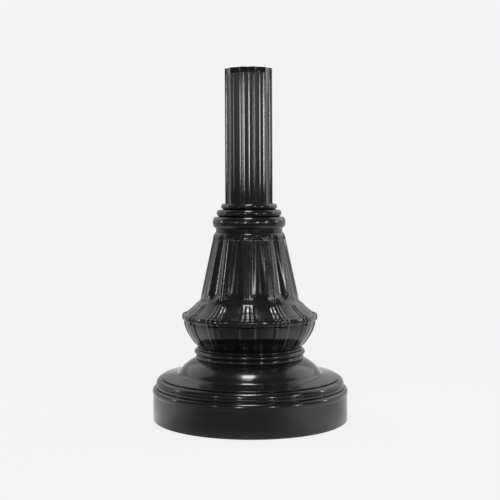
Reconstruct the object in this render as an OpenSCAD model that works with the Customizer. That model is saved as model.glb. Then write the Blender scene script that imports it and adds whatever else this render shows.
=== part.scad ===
// Lower section of an ornamental outdoor light pole: a fluted shaft that stands in a cast base.
// The shaft is welded to an anchor plate. Round castings are slipped over it and stacked from
// the ground up: plinth, dome, neck ring, bell and collar. A door at the back of the bell gives
// access to the inside of the shaft.
// Millimetres, +Z up. The origin is on the ground at the shaft's axis. The front faces -Y and
// the door faces +Y.

/* [Plinth] */
// Radius of the drum that stands on the ground
plinth_r = 203; // [198:1:215]
// Height of the plinth up to the seat of the dome
plinth_h = 87; // [82:1:110]
// Thickness of the drum's wall
plinth_wall = 7; // [5:0.5:10]
// Thickness of the deck that carries the dome
deck_t = 8; // [6:0.5:12]
// Height of the quarter-round moulding below the dome
plinth_bead_h = 10; // [8:0.5:14]
// How far the foot of that moulding stands out of its top
plinth_bead_out = 8.7; // [6:0.1:10]
// Height of the plain band below the moulding
plinth_band_h = 9; // [6:0.5:12]
// How far the plain band lies inside the drum
plinth_band_in = 6.8; // [5:0.1:9]
// Height of the rounded lip round the top of the drum
lip_h = 13; // [9:0.5:16]
// Height of the lip's widest place above its foot
lip_crest = 5.5; // [3:0.5:7]
// How far the lip stands out of the drum
lip_out = 1.2; // [0.5:0.1:3]

/* [Dome] */
// Height of the dome from its seat to the neck ring
dome_h = 40; // [36:1:50]
// Radius of the dome at its foot
dome_foot_r = 182; // [178:0.5:185]
// Height of the thin bead round the foot
foot_bead_h = 3.5; // [2.5:0.5:5]
// How far the thin bead stands out
foot_bead_out = 3.5; // [2:0.5:4]
// Radius at which the steep part of the dome starts
cove_r = 149.5; // [145:0.5:155]
// Height of that place above the dome's seat
cove_h = 8.5; // [7:0.5:11]
// Radius of the dome at its top
dome_top_r = 113; // [112:0.5:117]
// Thickness of the dome's wall
dome_wall = 7; // [5:0.5:8]
// Thickness of the flange under the neck ring
dome_flange_t = 8; // [6:0.5:10]

/* [Neck ring] */
// Height of the neck ring
neck_h = 24.5; // [23:0.5:32]
// Radius of the neck between its beads
neck_r = 110; // [108:0.5:112]
// Height of the lower bead
lower_bead_h = 9.5; // [7:0.5:11]
// How far the lower bead stands out
lower_bead_out = 3; // [2:0.5:4]
// Height of the middle bead, the largest
middle_bead_h = 11; // [8:0.5:11.5]
// How far the middle bead stands out
middle_bead_out = 6.2; // [4:0.1:7]
// Radius of the hole through the neck ring
neck_bore_r = 84; // [80:0.5:86]
// Thickness of the centring plate in the neck ring
centring_t = 5; // [4:0.5:7]

/* [Bell] */
// Height of the bowl at the bottom of the bell
bowl_h = 54; // [48:1:65]
// Radius of the bowl at its foot
bowl_foot_r = 107.5; // [106:0.5:110]
// Radius of the bowl under the rim
bowl_top_r = 135.3; // [131:0.5:140]
// Height of the rim roll
rim_h = 16; // [12:0.5:20]
// How far the rim roll stands out
rim_out = 4; // [2:0.5:6]
// How far the flare starts inside the rim
rim_step = 4.6; // [3:0.1:8]
// Height of the flare above the rim
flare_h = 40; // [34:1:50]
// Radius of the cone at its foot
cone_foot_r = 101; // [98:0.5:104]
// Radius of the cone at its top
cone_top_r = 76.3; // [75:0.1:80]
// Height of the fluted cone
cone_h = 115; // [112:1:150]
// Height of the rounded shoulder above the cone
crown_h = 14.5; // [13:0.5:18]
// Thickness of the bell's wall, measured level, at a rib
bell_wall = 9.5; // [8.5:0.5:11]
// Thickness of the flanges at the foot and the top of the bell
bell_flange_t = 8; // [6:0.5:10]
// Number of flutes, and of the ribs between them
bell_flutes = 12; // [10:1:14]
// Depth of a flute in the cone
bell_flute_depth = 4.2; // [3:0.1:5]
// Width of the rib between two flutes
cone_rib_w = 19.5; // [16:0.5:23]
// How far a flute runs down past the foot of the cone
flute_tail = 8; // [4:0.5:12]
// How far a flute runs up past the top of the cone, into the rounded shoulder
flute_head = 11; // [4:0.5:12]
// Width, in degrees, of a rib on the bowl, the rim and the flare
rib_angle = 13.5; // [10:0.5:15]
// How far a rib stands out of the bowl, the rim and the flare
rib_out = 2.8; // [1.5:0.1:4]

/* [Collar] */
// Radius of the plain band at the foot of the collar
band_r = 69.8; // [68:0.1:72]
// Height of the plain band
band_h = 9; // [8:0.5:14]
// Height of the lowest ring of the collar, the largest
low_ring_h = 23; // [20:0.5:28]
// Height of the middle ring
mid_ring_h = 14; // [11:0.5:17]
// Height of the top ring
top_ring_h = 12; // [9:0.5:15]
// Radius of the lowest ring
low_ring_r = 76.6; // [74:0.1:79]
// Radius of the middle ring
mid_ring_r = 68.2; // [66:0.1:71]
// Radius of the top ring
top_ring_r = 59; // [58.5:0.1:62]
// How far each ring stands out of the gap above it
ring_out = 6; // [4:0.5:6.5]
// Height of the gap between two rings
ring_gap = 0.8; // [0.4:0.1:1.5]
// Radius of the hollow inside the collar
collar_hollow_r = 58; // [56:0.5:60]
// Height of the rubber seal inside the collar
seal_h = 6; // [4:0.5:8]
// Thickness of the seal outside the shaft's ridges
seal_t = 3; // [2:0.5:4]

/* [Shaft] */
// Radius of the shaft over its ridges
shaft_r = 50.8; // [49.5:0.1:51.5]
// Height of the shaft's top above the ground
shaft_top = 732; // [560:1:4000]
// Radius of the shaft's bore
shaft_bore_r = 43.2; // [41:0.1:43.8]
// How much wider the socket at the shaft's top is than the bore
socket_step = 0.8; // [0.4:0.1:1.4]
// Depth of the socket at the shaft's top, which takes a spigot
socket_l = 80; // [40:1:100]
// Number of flutes in the shaft
shaft_flutes = 12; // [10:1:14]
// Depth of a flute below the ridges
shaft_flute_depth = 3.6; // [2.5:0.1:4]
// Width of the ridge between two flutes
shaft_ridge_w = 3; // [2:0.5:5]

/* [Anchor plate] */
// Width of the plate across its flats
plate_w = 230; // [215:1:250]
// Width of the plate across its rounded corners
plate_corner_w = 300; // [280:1:320]
// Thickness of the plate
plate_t = 19; // [16:0.5:25]
// Diameter of the circle on which the four anchor holes lie
anchor_circle_d = 203.2; // [195:0.1:212]
// Diameter of an anchor hole
anchor_hole_d = 25.4; // [20:0.1:28]
// Radius of the hub that holds the shaft
hub_r = 66; // [62:0.5:70]
// Height of the hub's top above the ground
hub_h = 60; // [45:1:70]
// Thickness of the ledge under the shaft
hub_ledge_t = 10; // [8:0.5:14]
// Leg of the weld between the hub and the shaft
weld_leg = 8; // [5:0.5:10]

/* [Access door] */
// Width of the door, in degrees
door_angle = 75; // [68:0.5:78]
// Height of the door
door_h = 102; // [90:1:106]
// Height of the door's lower edge above the foot of the cone
door_sill = 5; // [4:0.5:8]
// Gap round the door
door_gap = 0.8; // [0.4:0.1:1.5]
// Thickness of the gasket behind the door
gasket_t = 2; // [1.5:0.1:3]
// Thickness of the frame behind the gasket
frame_t = 5; // [4:0.5:6]
// How far the frame reaches over the wall and behind the door
frame_lap = 14; // [12:0.5:16]
// Depth of a frame screw in the bell's wall
frame_grip = 3; // [2:0.5:3.5]
// Distance of a frame screw from the door's edge above or below it
frame_screw_inset = 20; // [15:1:30]
// Height of the handhole in the shaft
handhole_h = 84; // [76:1:90]
// Width of the handhole in the shaft
handhole_w = 46; // [40:1:50]
// Width of the ring that stiffens the handhole
handhole_rim = 7; // [5:0.5:9]
// Thickness of that ring
handhole_rim_t = 4; // [3:0.5:6]

/* [Ground connection] */
// Radius of the boss inside the shaft
boss_r = 9; // [8:0.5:11]
// Length of the boss
boss_l = 8; // [7:0.5:10]
// Width of the lug
lug_w = 14; // [13:0.5:18]
// Thickness of the lug's tongue
lug_t = 4; // [3:0.5:5]
// Thickness of the lug's block
lug_block_t = 11; // [10:0.5:13]
// Diameter of the hole for the wire
wire_d = 6.4; // [4:0.1:7]

/* [Fasteners] */
// Thread diameter of the bolts that join the castings
bolt_d = 8; // [6:0.5:9]
// Number of bolts between the plinth and the dome
dome_bolt_n = 6; // [4:1:8]
// Radius of the circle of the bolts between the plinth and the dome
dome_bolt_circle_r = 130; // [128:0.5:132]
// Length of thread in the dome's boss
dome_thread_l = 12; // [8:0.5:14]
// Number of tie bolts through the neck
tie_bolt_n = 4; // [3:1:6]
// Radius of the circle of the tie bolts
tie_bolt_circle_r = 95.5; // [94:0.5:96.5]
// Thread diameter of the door screws
door_screw_d = 6; // [5:0.5:6.5]
// Thread diameter of the set screws in the collar
set_screw_d = 8; // [6:0.5:8]
// Thread diameter of the small screws of the frame and the ground lug
small_screw_d = 5; // [4:0.5:6]

/* [Hidden] */

$fn = 96;
fine = 180;
coarse = 64;
paint = "#1d1d1f";
bare = "#b9bcc0";
steel = "#8f9296";
rubber = "#2b2b2b";
copper = "#b4713c";

// Clearance of a bolt in its hole, of a slip fit over the shaft, of loose pieces, and of a thread
bolt_clear = 0.5;
slip_clear = 0.4;
loose = 0.3;
snug = 0.1;
// Land left between a bolt or a washer and the nearest edge, and depth of a tap beyond its thread
land = 3;
tap_extra = 3;
// Overlap that makes a cut clean, and reach of a cut that passes right through
eps = 0.5;
far = 20;
// Direction of the back, where the door is
back = 90;

// Small steps of the mouldings
fillet_in = 2;
fillet_out = 2.5;
rim_seam = 0.5;

// Handles that shape the curves. Each one is an offset from its end of the curve.
dome_foot_handle = [-6.5, 16.5];
dome_top_handle = [9, -2.5];
bowl_foot_handle = [8, 10];
bowl_top_handle = [-1.5, -22];
flare_foot_handle = [-0.5, 4];
flare_top_handle = [3, -25];
crown_foot_handle = [-0.6, 7];
crown_top_handle = [3.2, -0.4];

// Levels of the stack above the ground
dome_z = plinth_h;
neck_z = dome_z + dome_h;
bell_z = neck_z + neck_h;
bell_h = bowl_h + rim_h + flare_h + cone_h + crown_h;
collar_z = bell_z + bell_h;
low_ring_z = collar_z + band_h;
mid_ring_z = low_ring_z + low_ring_h + ring_gap;
top_ring_z = mid_ring_z + mid_ring_h + ring_gap;
collar_top = top_ring_z + top_ring_h;

// Sizes that follow from the thread of a fastener
function head_r(d) = 0.85 * d;
function head_t(d) = 0.65 * d;
function nut_t(d) = 0.8 * d;
function washer_r(d) = 1.05 * d;
function washer_t(d) = 0.2 * d;
function round_head_r(d) = 0.95 * d;
function round_head_t(d) = 0.55 * d;
function key_r(d) = 0.35 * d;

// Points of a moulding: a quarter round, a round nose, and a curve with two handles
function quarter(r_out, r_in, z0, z1, n = 5) =
    [for (i = [0:n]) [r_in + (r_out - r_in) * cos(90 * i / n), z0 + (z1 - z0) * sin(90 * i / n)]];
function nose(r, z0, z1, out, n = 8) =
    [for (i = [0:n]) [r + out * sin(180 * i / n), (z0 + z1) / 2 - (z1 - z0) / 2 * cos(180 * i / n)]];
function curve(start, start_handle, end_handle, end, n = 7) =
    [for (i = [0:n]) let (t = i / n, s = 1 - t)
        s * s * s * start + 3 * s * s * t * (start + start_handle)
            + 3 * s * t * t * (end + end_handle) + t * t * t * end];

// Copies round the axis, the first one at the given angle
module ring_of(n, r, first = 0) {
    for (i = [0:n - 1])
        rotate([0, 0, first + i * 360 / n]) translate([r, 0, 0]) children();
}

// A hexagonal prism inside a circle
module hexagon(r, h) {
    cylinder(r = r, h = h, $fn = 6);
}

// A sector of a ring about the axis
module sector(r0, r1, z0, z1, angle, middle) {
    rotate([0, 0, middle - angle / 2])
        rotate_extrude(angle = angle)
            translate([r0, z0]) square([r1 - r0, z1 - z0]);
}

module washer(d) {
    difference() {
        cylinder(r = washer_r(d), h = washer_t(d));
        translate([0, 0, -eps]) cylinder(r = d / 2 + loose / 2, h = washer_t(d) + 2 * eps);
    }
}

// Plinth: a drum with a lip, a plain band and a moulding, open below, with a deck on top
bead_z = plinth_h - plinth_bead_h;
lip_z = bead_z - plinth_band_h - lip_h;
lip_r = plinth_r + lip_out;
plinth_band_r = plinth_r - plinth_band_in;
deck_hole_r = dome_bolt_circle_r - washer_r(bolt_d) - land;
drum_inner_r = plinth_r - plinth_wall;
deck_z = plinth_h - deck_t;

module plinth() {
    color(paint) difference() {
        rotate_extrude() polygon(concat(
            [[deck_hole_r, 0], [plinth_r, 0], [plinth_r, lip_z]],
            quarter(lip_r, plinth_band_r + 0.5 * land, lip_z + lip_crest, lip_z + lip_h),
            [[plinth_band_r, lip_z + lip_h]],
            quarter(plinth_band_r, plinth_band_r - plinth_bead_out, bead_z, plinth_h),
            [[deck_hole_r, plinth_h]]));
        translate([0, 0, -eps]) cylinder(r = drum_inner_r, h = lip_z + eps);
        translate([0, 0, lip_z])
            cylinder(r1 = drum_inner_r, r2 = plinth_band_r - plinth_wall, h = deck_z - lip_z);
        ring_of(dome_bolt_n, dome_bolt_circle_r)
            translate([0, 0, deck_z - eps])
                cylinder(r = bolt_d / 2 + bolt_clear, h = deck_t + 2 * eps);
    }
}

// Dome: a thin bead, a sloping shoulder and an ogee, with a flange for the neck ring
dome_ogee = curve([cove_r, cove_h], dome_foot_handle, dome_top_handle, [dome_top_r, dome_h]);
dome_ceiling = dome_h - dome_flange_t;
dome_boss_r = bolt_d / 2 + 1.5 * land;

module dome_solid() {
    rotate_extrude() polygon(concat(
        [[neck_bore_r, 0]],
        nose(dome_foot_r, 0, foot_bead_h, foot_bead_out, 6),
        dome_ogee,
        [[neck_bore_r, dome_h]]));
}

module dome_hollow() {
    inner = [for (p = dome_ogee) if (p[1] - dome_wall < dome_ceiling)
        [p[0] - dome_wall, max(p[1] - dome_wall, 0)]];
    rotate_extrude() polygon(concat(
        [[0, -eps], [cove_r - dome_wall, -eps]],
        inner,
        [[inner[len(inner) - 1][0], dome_ceiling], [0, dome_ceiling]]));
}

module dome() {
    color(paint) translate([0, 0, dome_z]) difference() {
        dome_solid();
        difference() {
            dome_hollow();
            ring_of(dome_bolt_n, dome_bolt_circle_r) cylinder(r = dome_boss_r, h = dome_h);
        }
        ring_of(dome_bolt_n, dome_bolt_circle_r) translate([0, 0, -eps])
            cylinder(r = bolt_d / 2 + snug, h = dome_thread_l + tap_extra + eps);
        tie_holes(dome_ceiling, dome_flange_t);
    }
}

module at_dome_bolts() {
    ring_of(dome_bolt_n, dome_bolt_circle_r)
        translate([0, 0, dome_z - deck_t - washer_t(bolt_d)]) children();
}

module dome_bolts() {
    color(steel) at_dome_bolts() {
        translate([0, 0, -head_t(bolt_d)]) hexagon(head_r(bolt_d), head_t(bolt_d));
        cylinder(r = bolt_d / 2, h = washer_t(bolt_d) + deck_t + dome_thread_l);
    }
}

module dome_washers() {
    color(steel) at_dome_bolts() washer(bolt_d);
}

// Neck ring: two round beads and a small fillet, with a seat for the centring plate on top
middle_bead_top = lower_bead_h + middle_bead_h;
centring_r = neck_r - fillet_in - land;

module neck_ring() {
    color(paint) translate([0, 0, neck_z]) difference() {
        rotate_extrude() polygon(concat(
            [[neck_bore_r, 0]],
            nose(neck_r, 0, lower_bead_h, lower_bead_out),
            nose(neck_r, lower_bead_h, middle_bead_top, middle_bead_out),
            nose(neck_r - fillet_in, middle_bead_top, neck_h, fillet_out, 6),
            [[neck_bore_r, neck_h]]));
        translate([0, 0, neck_h - centring_t]) cylinder(r = centring_r, h = centring_t + eps);
        tie_holes(0, neck_h);
    }
}

// Holes for the tie bolts through a flange, halfway between the front and the sides
module tie_holes(z, t) {
    ring_of(tie_bolt_n, tie_bolt_circle_r, back / 2)
        translate([0, 0, z - eps]) cylinder(r = bolt_d / 2 + bolt_clear, h = t + 2 * eps);
}

// Centring plate: a flat ring that holds the stack of castings true to the shaft
module centring_plate() {
    color(bare) translate([0, 0, bell_z - centring_t]) difference() {
        cylinder(r = centring_r - loose, h = centring_t);
        translate([0, 0, -eps]) cylinder(r = shaft_r + slip_clear, h = centring_t + 2 * eps);
        tie_holes(0, centring_t);
    }
}

// Tie bolts: from under the dome's flange up through the neck ring and the foot of the bell
tie_foot_z = neck_z - dome_flange_t;
tie_top_z = bell_z + bell_flange_t;
tie_grip = tie_top_z - tie_foot_z + 2 * washer_t(bolt_d);

module at_tie_bolts(z) {
    ring_of(tie_bolt_n, tie_bolt_circle_r, back / 2) translate([0, 0, z]) children();
}

module tie_bolts() {
    color(steel) at_tie_bolts(tie_foot_z - washer_t(bolt_d)) {
        translate([0, 0, -head_t(bolt_d)]) hexagon(head_r(bolt_d), head_t(bolt_d));
        cylinder(r = bolt_d / 2, h = tie_grip + nut_t(bolt_d) + land);
    }
}

module tie_washers() {
    color(steel) {
        at_tie_bolts(tie_foot_z - washer_t(bolt_d)) washer(bolt_d);
        at_tie_bolts(tie_top_z) washer(bolt_d);
    }
}

module tie_nuts() {
    color(steel) at_tie_bolts(tie_top_z + washer_t(bolt_d)) difference() {
        hexagon(head_r(bolt_d), nut_t(bolt_d));
        translate([0, 0, -eps]) cylinder(r = bolt_d / 2 + snug, h = nut_t(bolt_d) + 2 * eps);
    }
}

// Bell: a bowl, a rim roll, a flare and a fluted cone with a rounded shoulder
flare_foot = bowl_h + rim_h;
cone_foot = flare_foot + flare_h;
cone_top = cone_foot + cone_h;
bell_lower = concat(
    curve([bowl_foot_r, 0], bowl_foot_handle, bowl_top_handle, [bowl_top_r, bowl_h]),
    nose(bowl_top_r, bowl_h + rim_seam, flare_foot, rim_out),
    curve([bowl_top_r - rim_step, flare_foot + rim_seam], flare_foot_handle,
        flare_top_handle, [cone_foot_r, cone_foot]));
bell_upper = curve([cone_top_r, cone_top], crown_foot_handle, crown_top_handle, [band_r, bell_h], 6);
bell_outline = concat(bell_lower, bell_upper);
bell_ceiling = bell_h - bell_flange_t;

module bell_body() {
    rotate_extrude() polygon(concat(
        [[neck_bore_r, 0]],
        bell_outline,
        [[collar_hollow_r, bell_h], [collar_hollow_r, bell_ceiling], [neck_bore_r, bell_flange_t]]));
}

// The space inside the bell, made larger where the door leaves room for its gasket
module bell_hollow(back_off = 0) {
    inner = [for (p = bell_outline) if (p[1] > bell_flange_t && p[1] < bell_ceiling)
        [p[0] - bell_wall + back_off, p[1]]];
    rotate_extrude() polygon(concat(
        [[0, bell_flange_t], [inner[0][0] - land, bell_flange_t]],
        inner,
        [[collar_hollow_r, bell_ceiling], [0, bell_ceiling]]));
}

// One rib over the bowl, the rim and the flare. It fades out at both ends.
rib_fade = 14;
rib_foot_share = 0.3;
rib_top = cone_foot - flute_tail;
function rib_lift(z) =
    rib_out * max(0, min(1, (rib_top - z) / rib_fade, z / rib_fade + rib_foot_share));

module bell_rib() {
    course = [for (p = bell_lower) if (p[1] < rib_top) p];
    last = len(course) - 1;
    rotate([0, 0, -rib_angle / 2]) rotate_extrude(angle = rib_angle) polygon(concat(
        [for (p = course) [p[0] + rib_lift(p[1]), p[1]]],
        [for (i = [last:-1:0]) [course[i][0] - land, course[i][1]]]));
}

// One flute of the cone: a tapered cutter with round ends that leans with the cone
flute_half_top = PI * cone_top_r / bell_flutes - cone_rib_w / 2;
flute_half_foot = PI * cone_foot_r / bell_flutes - cone_rib_w / 2;
function cutter_r(half) = (half * half + bell_flute_depth * bell_flute_depth) / (2 * bell_flute_depth);
cut_top_r = cutter_r(flute_half_top);
cut_foot_r = cutter_r(flute_half_foot);
cut_top = [cone_top_r + cut_top_r - bell_flute_depth, cone_top + flute_head - flute_half_top];
cut_foot = [cone_foot_r + cut_foot_r - bell_flute_depth, cone_foot - flute_tail + flute_half_foot];
cut_l = norm(cut_top - cut_foot);
cut_lean = atan2(cut_foot[0] - cut_top[0], cut_top[1] - cut_foot[1]);
cut_slope = asin((cut_foot_r - cut_top_r) / cut_l);
cut_steps = 5;

module flute_cutter() {
    translate([cut_foot[0], 0, cut_foot[1]]) rotate([0, -cut_lean, 0]) rotate_extrude($fn = coarse)
        polygon(concat(
            [for (i = [0:cut_steps]) let (a = -90 + (90 + cut_slope) * i / cut_steps)
                [cut_foot_r * cos(a), cut_foot_r * sin(a)]],
            [for (i = [0:cut_steps]) let (a = cut_slope + (90 - cut_slope) * i / cut_steps)
                [cut_top_r * cos(a), cut_l + cut_top_r * sin(a)]]));
}

module flute_cutters(first, last) {
    for (i = [first:last]) rotate([0, 0, back + (i + 0.5) * 360 / bell_flutes]) flute_cutter();
}

module bell() {
    color(paint) translate([0, 0, bell_z]) difference() {
        union() {
            difference() {
                bell_body();
                bell_hollow();
                flute_cutters(0, bell_flutes - 1);
            }
            for (i = [0:bell_flutes - 1]) rotate([0, 0, back + i * 360 / bell_flutes]) bell_rib();
        }
        door_zone(door_gap);
        tie_holes(0, bell_flange_t);
        frame_screw_holes();
    }
}

// Door: the part of the bell's wall between two levels and two planes through the axis
door_foot = cone_foot + door_sill;
door_top = door_foot + door_h;
door_far_r = cone_foot_r + far;
frame_foot = door_foot - frame_lap;
frame_top = min(door_top + frame_lap, cone_top - 0.5 * land);
frame_angle = door_angle + 2 * frame_lap / cone_foot_r * 180 / PI;
window_angle = door_angle - 2 * frame_lap / cone_top_r * 180 / PI;
cone_slope = (cone_foot_r - cone_top_r) / cone_h;

function wall_r(z) = cone_foot_r - cone_slope * (z - cone_foot);

module door_zone(gap) {
    sector(shaft_r, door_far_r, door_foot - gap, door_top + gap,
        door_angle + 2 * gap / cone_top_r * 180 / PI, back);
}

// A conical shell under the bell's wall, between two depths below the outside at a rib
module wall_layer(depth0, depth1) {
    difference() {
        layer_cone(depth0, 0);
        layer_cone(depth1, eps);
    }
}

module layer_cone(depth, over) {
    z0 = frame_foot - over;
    z1 = frame_top + over;
    translate([0, 0, z0]) cylinder(r1 = wall_r(z0) - depth, r2 = wall_r(z1) - depth, h = z1 - z0);
}

// Places of the door screws, on the middle rib, each on its own level
door_screw_z = [door_foot + frame_lap / 2, door_top - frame_lap / 2];

module at_door_screws(depth = 0) {
    for (z = door_screw_z)
        translate([0, wall_r(z) - depth, z]) rotate([-90, 0, 0]) children();
}

screw_sink = round_head_t(door_screw_d) + bolt_clear + loose;
retainer_t = washer_t(door_screw_d);
retainer_r = door_screw_d / 2 + land;
retainer_depth = bell_wall - gasket_t - loose;

module access_door() {
    color(paint) translate([0, 0, bell_z]) difference() {
        intersection() {
            bell_body();
            door_zone(0);
        }
        bell_hollow(gasket_t);
        flute_cutters(-2, 1);
        at_door_screws(bell_wall) cylinder(r = door_screw_d / 2 + loose, h = bell_wall + far);
        at_door_screws(screw_sink)
            cylinder(r = round_head_r(door_screw_d) + bolt_clear, h = screw_sink + far);
        at_door_screws(bell_wall)
            cylinder(r = retainer_r + loose, h = bell_wall - retainer_depth + retainer_t + loose);
    }
}

module door_gasket() {
    color(rubber) translate([0, 0, bell_z]) difference() {
        intersection() {
            wall_layer(bell_wall - gasket_t + snug, bell_wall - snug);
            sector(shaft_r, door_far_r, door_foot, door_top, door_angle, back);
        }
        sector(shaft_r, door_far_r, door_foot + frame_lap, door_top - frame_lap, window_angle, back);
        at_door_screws(bell_wall + far) cylinder(r = retainer_r + loose, h = 2 * far);
    }
}

module door_screws() {
    shank_l = bell_wall + frame_t + 0.5 * land;
    color(steel) translate([0, 0, bell_z]) {
        at_door_screws(screw_sink) difference() {
            cylinder(r = round_head_r(door_screw_d), h = round_head_t(door_screw_d));
            translate([0, 0, round_head_t(door_screw_d) / 2])
                hexagon(key_r(door_screw_d), round_head_t(door_screw_d));
        }
        at_door_screws(shank_l) cylinder(r = door_screw_d / 2, h = shank_l - screw_sink + eps);
    }
}

module door_screw_retainers() {
    color(rubber) translate([0, 0, bell_z]) at_door_screws(retainer_depth) difference() {
        cylinder(r = retainer_r, h = retainer_t);
        translate([0, 0, -eps]) cylinder(r = door_screw_d / 2 + snug, h = retainer_t + 2 * eps);
    }
}

// Frame: a curved window frame behind the door, screwed to the inside of the bell
frame_screw_z = [door_foot + frame_screw_inset, door_top - frame_screw_inset];
frame_screw_a = (door_angle + frame_angle) / 4;
frame_head_t = round_head_t(small_screw_d);
// A level screw on the sloping frame keeps its head clear of the frame's face
frame_head_lift = round_head_r(small_screw_d) * cone_slope;

module door_frame() {
    color(bare) translate([0, 0, bell_z]) difference() {
        intersection() {
            wall_layer(bell_wall + 2 * snug, bell_wall + frame_t);
            sector(shaft_r, door_far_r, frame_foot, frame_top, frame_angle, back);
        }
        sector(0, door_far_r, door_foot + frame_lap, door_top - frame_lap, window_angle, back);
        at_door_screws(bell_wall + frame_t + far)
            cylinder(r = door_screw_d / 2 + loose, h = frame_t + 2 * far);
        frame_screw_holes();
    }
}

module at_frame_screws() {
    for (z = frame_screw_z, side = [-1, 1])
        rotate([0, 0, back + side * frame_screw_a])
            translate([wall_r(z) - bell_wall - frame_t, 0, z]) rotate([0, 90, 0]) children();
}

module frame_screw_holes() {
    at_frame_screws() translate([0, 0, -land])
        cylinder(r = small_screw_d / 2 + snug, h = land + frame_t + frame_grip + loose);
}

module frame_screws() {
    color(steel) translate([0, 0, bell_z]) at_frame_screws() {
        translate([0, 0, -frame_head_lift - frame_head_t])
            cylinder(r = round_head_r(small_screw_d), h = frame_head_t);
        translate([0, 0, -frame_head_lift - eps])
            cylinder(r = small_screw_d / 2, h = frame_head_lift + eps + frame_t + frame_grip);
    }
}

// Collar: a plain band and three rings, hollow inside, with a slip fit over the shaft at the top
module collar() {
    color(paint) difference() {
        rotate_extrude() polygon(concat(
            [[shaft_r + slip_clear, collar_z], [band_r, collar_z], [band_r, low_ring_z]],
            nose(low_ring_r - ring_out, low_ring_z, low_ring_z + low_ring_h, ring_out, 10),
            nose(mid_ring_r - ring_out, mid_ring_z, mid_ring_z + mid_ring_h, ring_out, 10),
            nose(top_ring_r - ring_out, top_ring_z, collar_top, ring_out, 10),
            [[shaft_r + slip_clear, collar_top]]));
        translate([0, 0, collar_z - eps])
            cylinder(r = collar_hollow_r, h = mid_ring_z - collar_z + eps);
        at_set_screws() cylinder(r = set_screw_d / 2 + snug, h = band_r);
        translate([0, 0, mid_ring_z - eps]) cylinder(r = shaft_r + seal_t + snug, h = seal_h + eps);
    }
}

// Set screws: one at each side, where it bears on the bottom of a flute
shaft_flute_r = shaft_r - shaft_flute_depth;
set_screw_a = round(shaft_flutes / 4) * 360 / shaft_flutes;
set_screw_l = band_r - shaft_flute_r - 0.5 * land;

module at_set_screws() {
    for (side = [-1, 1])
        rotate([0, 0, back + side * set_screw_a])
            translate([shaft_flute_r + snug, 0, collar_z + band_h / 2])
                rotate([0, 90, 0]) children();
}

module collar_set_screws() {
    color(steel) at_set_screws() difference() {
        cylinder(r = set_screw_d / 2, h = set_screw_l);
        translate([0, 0, set_screw_l - set_screw_d / 2]) hexagon(key_r(set_screw_d), set_screw_d);
    }
}

// Seal: a rubber ring inside the collar that follows the flutes of the shaft
module shaft_seal() {
    color(rubber) translate([0, 0, mid_ring_z]) linear_extrude(seal_h - snug) difference() {
        circle(r = shaft_r + seal_t);
        shaft_outline(2 * snug);
    }
}

// Shaft: a fluted tube with a handhole behind the door and a socket in its top
ridge_a = asin(shaft_ridge_w / 2 / shaft_r);
flute_edge_a = 180 / shaft_flutes - ridge_a;
flute_edge = [shaft_r * cos(flute_edge_a), shaft_r * sin(flute_edge_a)];
flute_sag = flute_edge[0] - shaft_flute_r;
flute_curve_r = (flute_edge[1] * flute_edge[1] + flute_sag * flute_sag) / (2 * flute_sag);
handhole_z = bell_z + (door_foot + door_top) / 2;

module shaft_outline(grow = 0) {
    difference() {
        circle(r = shaft_r + grow, $fn = fine);
        for (i = [0:shaft_flutes - 1])
            rotate(back + i * 360 / shaft_flutes)
                translate([shaft_flute_r + grow + flute_curve_r, 0])
                    circle(r = flute_curve_r, $fn = fine);
    }
}

// A slot with round ends that runs out of the shaft along +Y
module slot(w, h) {
    reach = shaft_r + far;
    translate([0, 0, handhole_z]) rotate([-90, 0, 0]) {
        translate([-w / 2, -(h - w) / 2, 0]) cube([w, h - w, reach]);
        for (s = [-1, 1]) translate([0, s * (h - w) / 2, 0]) cylinder(r = w / 2, h = reach);
    }
}

module shaft() {
    color(paint) difference() {
        translate([0, 0, hub_ledge_t]) linear_extrude(shaft_top - hub_ledge_t) shaft_outline();
        translate([0, 0, hub_ledge_t - eps])
            cylinder(r = shaft_bore_r, h = shaft_top - hub_ledge_t + 2 * eps);
        translate([0, 0, shaft_top - socket_l])
            cylinder(r = shaft_bore_r + socket_step, h = socket_l + eps);
        slot(handhole_w, handhole_h);
    }
}

module handhole_ring() {
    z0 = handhole_z - handhole_h;
    color(bare) difference() {
        intersection() {
            translate([0, 0, z0]) cylinder(r = shaft_bore_r - snug, h = 2 * handhole_h);
            slot(handhole_w + 2 * handhole_rim, handhole_h + 2 * handhole_rim);
        }
        translate([0, 0, z0 - eps])
            cylinder(r = shaft_bore_r - handhole_rim_t, h = 2 * handhole_h + 2 * eps);
        slot(handhole_w, handhole_h);
    }
}

// Ground connection: a boss on the bore's wall opposite the handhole, a lug, a washer, a screw
boss_foot_y = -sqrt(shaft_bore_r * shaft_bore_r - boss_r * boss_r);
lug_y = boss_foot_y + boss_l;
ground_seat = lug_t + washer_t(small_screw_d);
ground_thread_l = boss_l - land;

// Things that stand on the bore's wall and point to the back
module along_back(y) {
    translate([0, y, handhole_z]) rotate([-90, 0, 0]) children();
}

module ground_boss() {
    color(bare) difference() {
        intersection() {
            along_back(-shaft_r) cylinder(r = boss_r, h = lug_y + shaft_r);
            translate([0, 0, handhole_z - 2 * boss_r])
                cylinder(r = shaft_bore_r - snug, h = 4 * boss_r);
        }
        along_back(lug_y - ground_thread_l - 0.5 * land)
            cylinder(r = small_screw_d / 2 + snug, h = far);
    }
}

module ground_lug() {
    color(copper) along_back(lug_y) difference() {
        union() {
            translate([-lug_w / 2, -lug_w / 2, 0]) cube([lug_w, lug_w, lug_t]);
            translate([-lug_w / 2, -1.5 * lug_w, 0]) cube([lug_w, lug_w, lug_block_t]);
        }
        translate([0, 0, -eps]) cylinder(r = small_screw_d / 2 + loose, h = lug_t + 2 * eps);
        translate([-lug_w, -lug_w, lug_block_t / 2]) rotate([0, 90, 0])
            cylinder(r = wire_d / 2, h = 2 * lug_w);
    }
}

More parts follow.
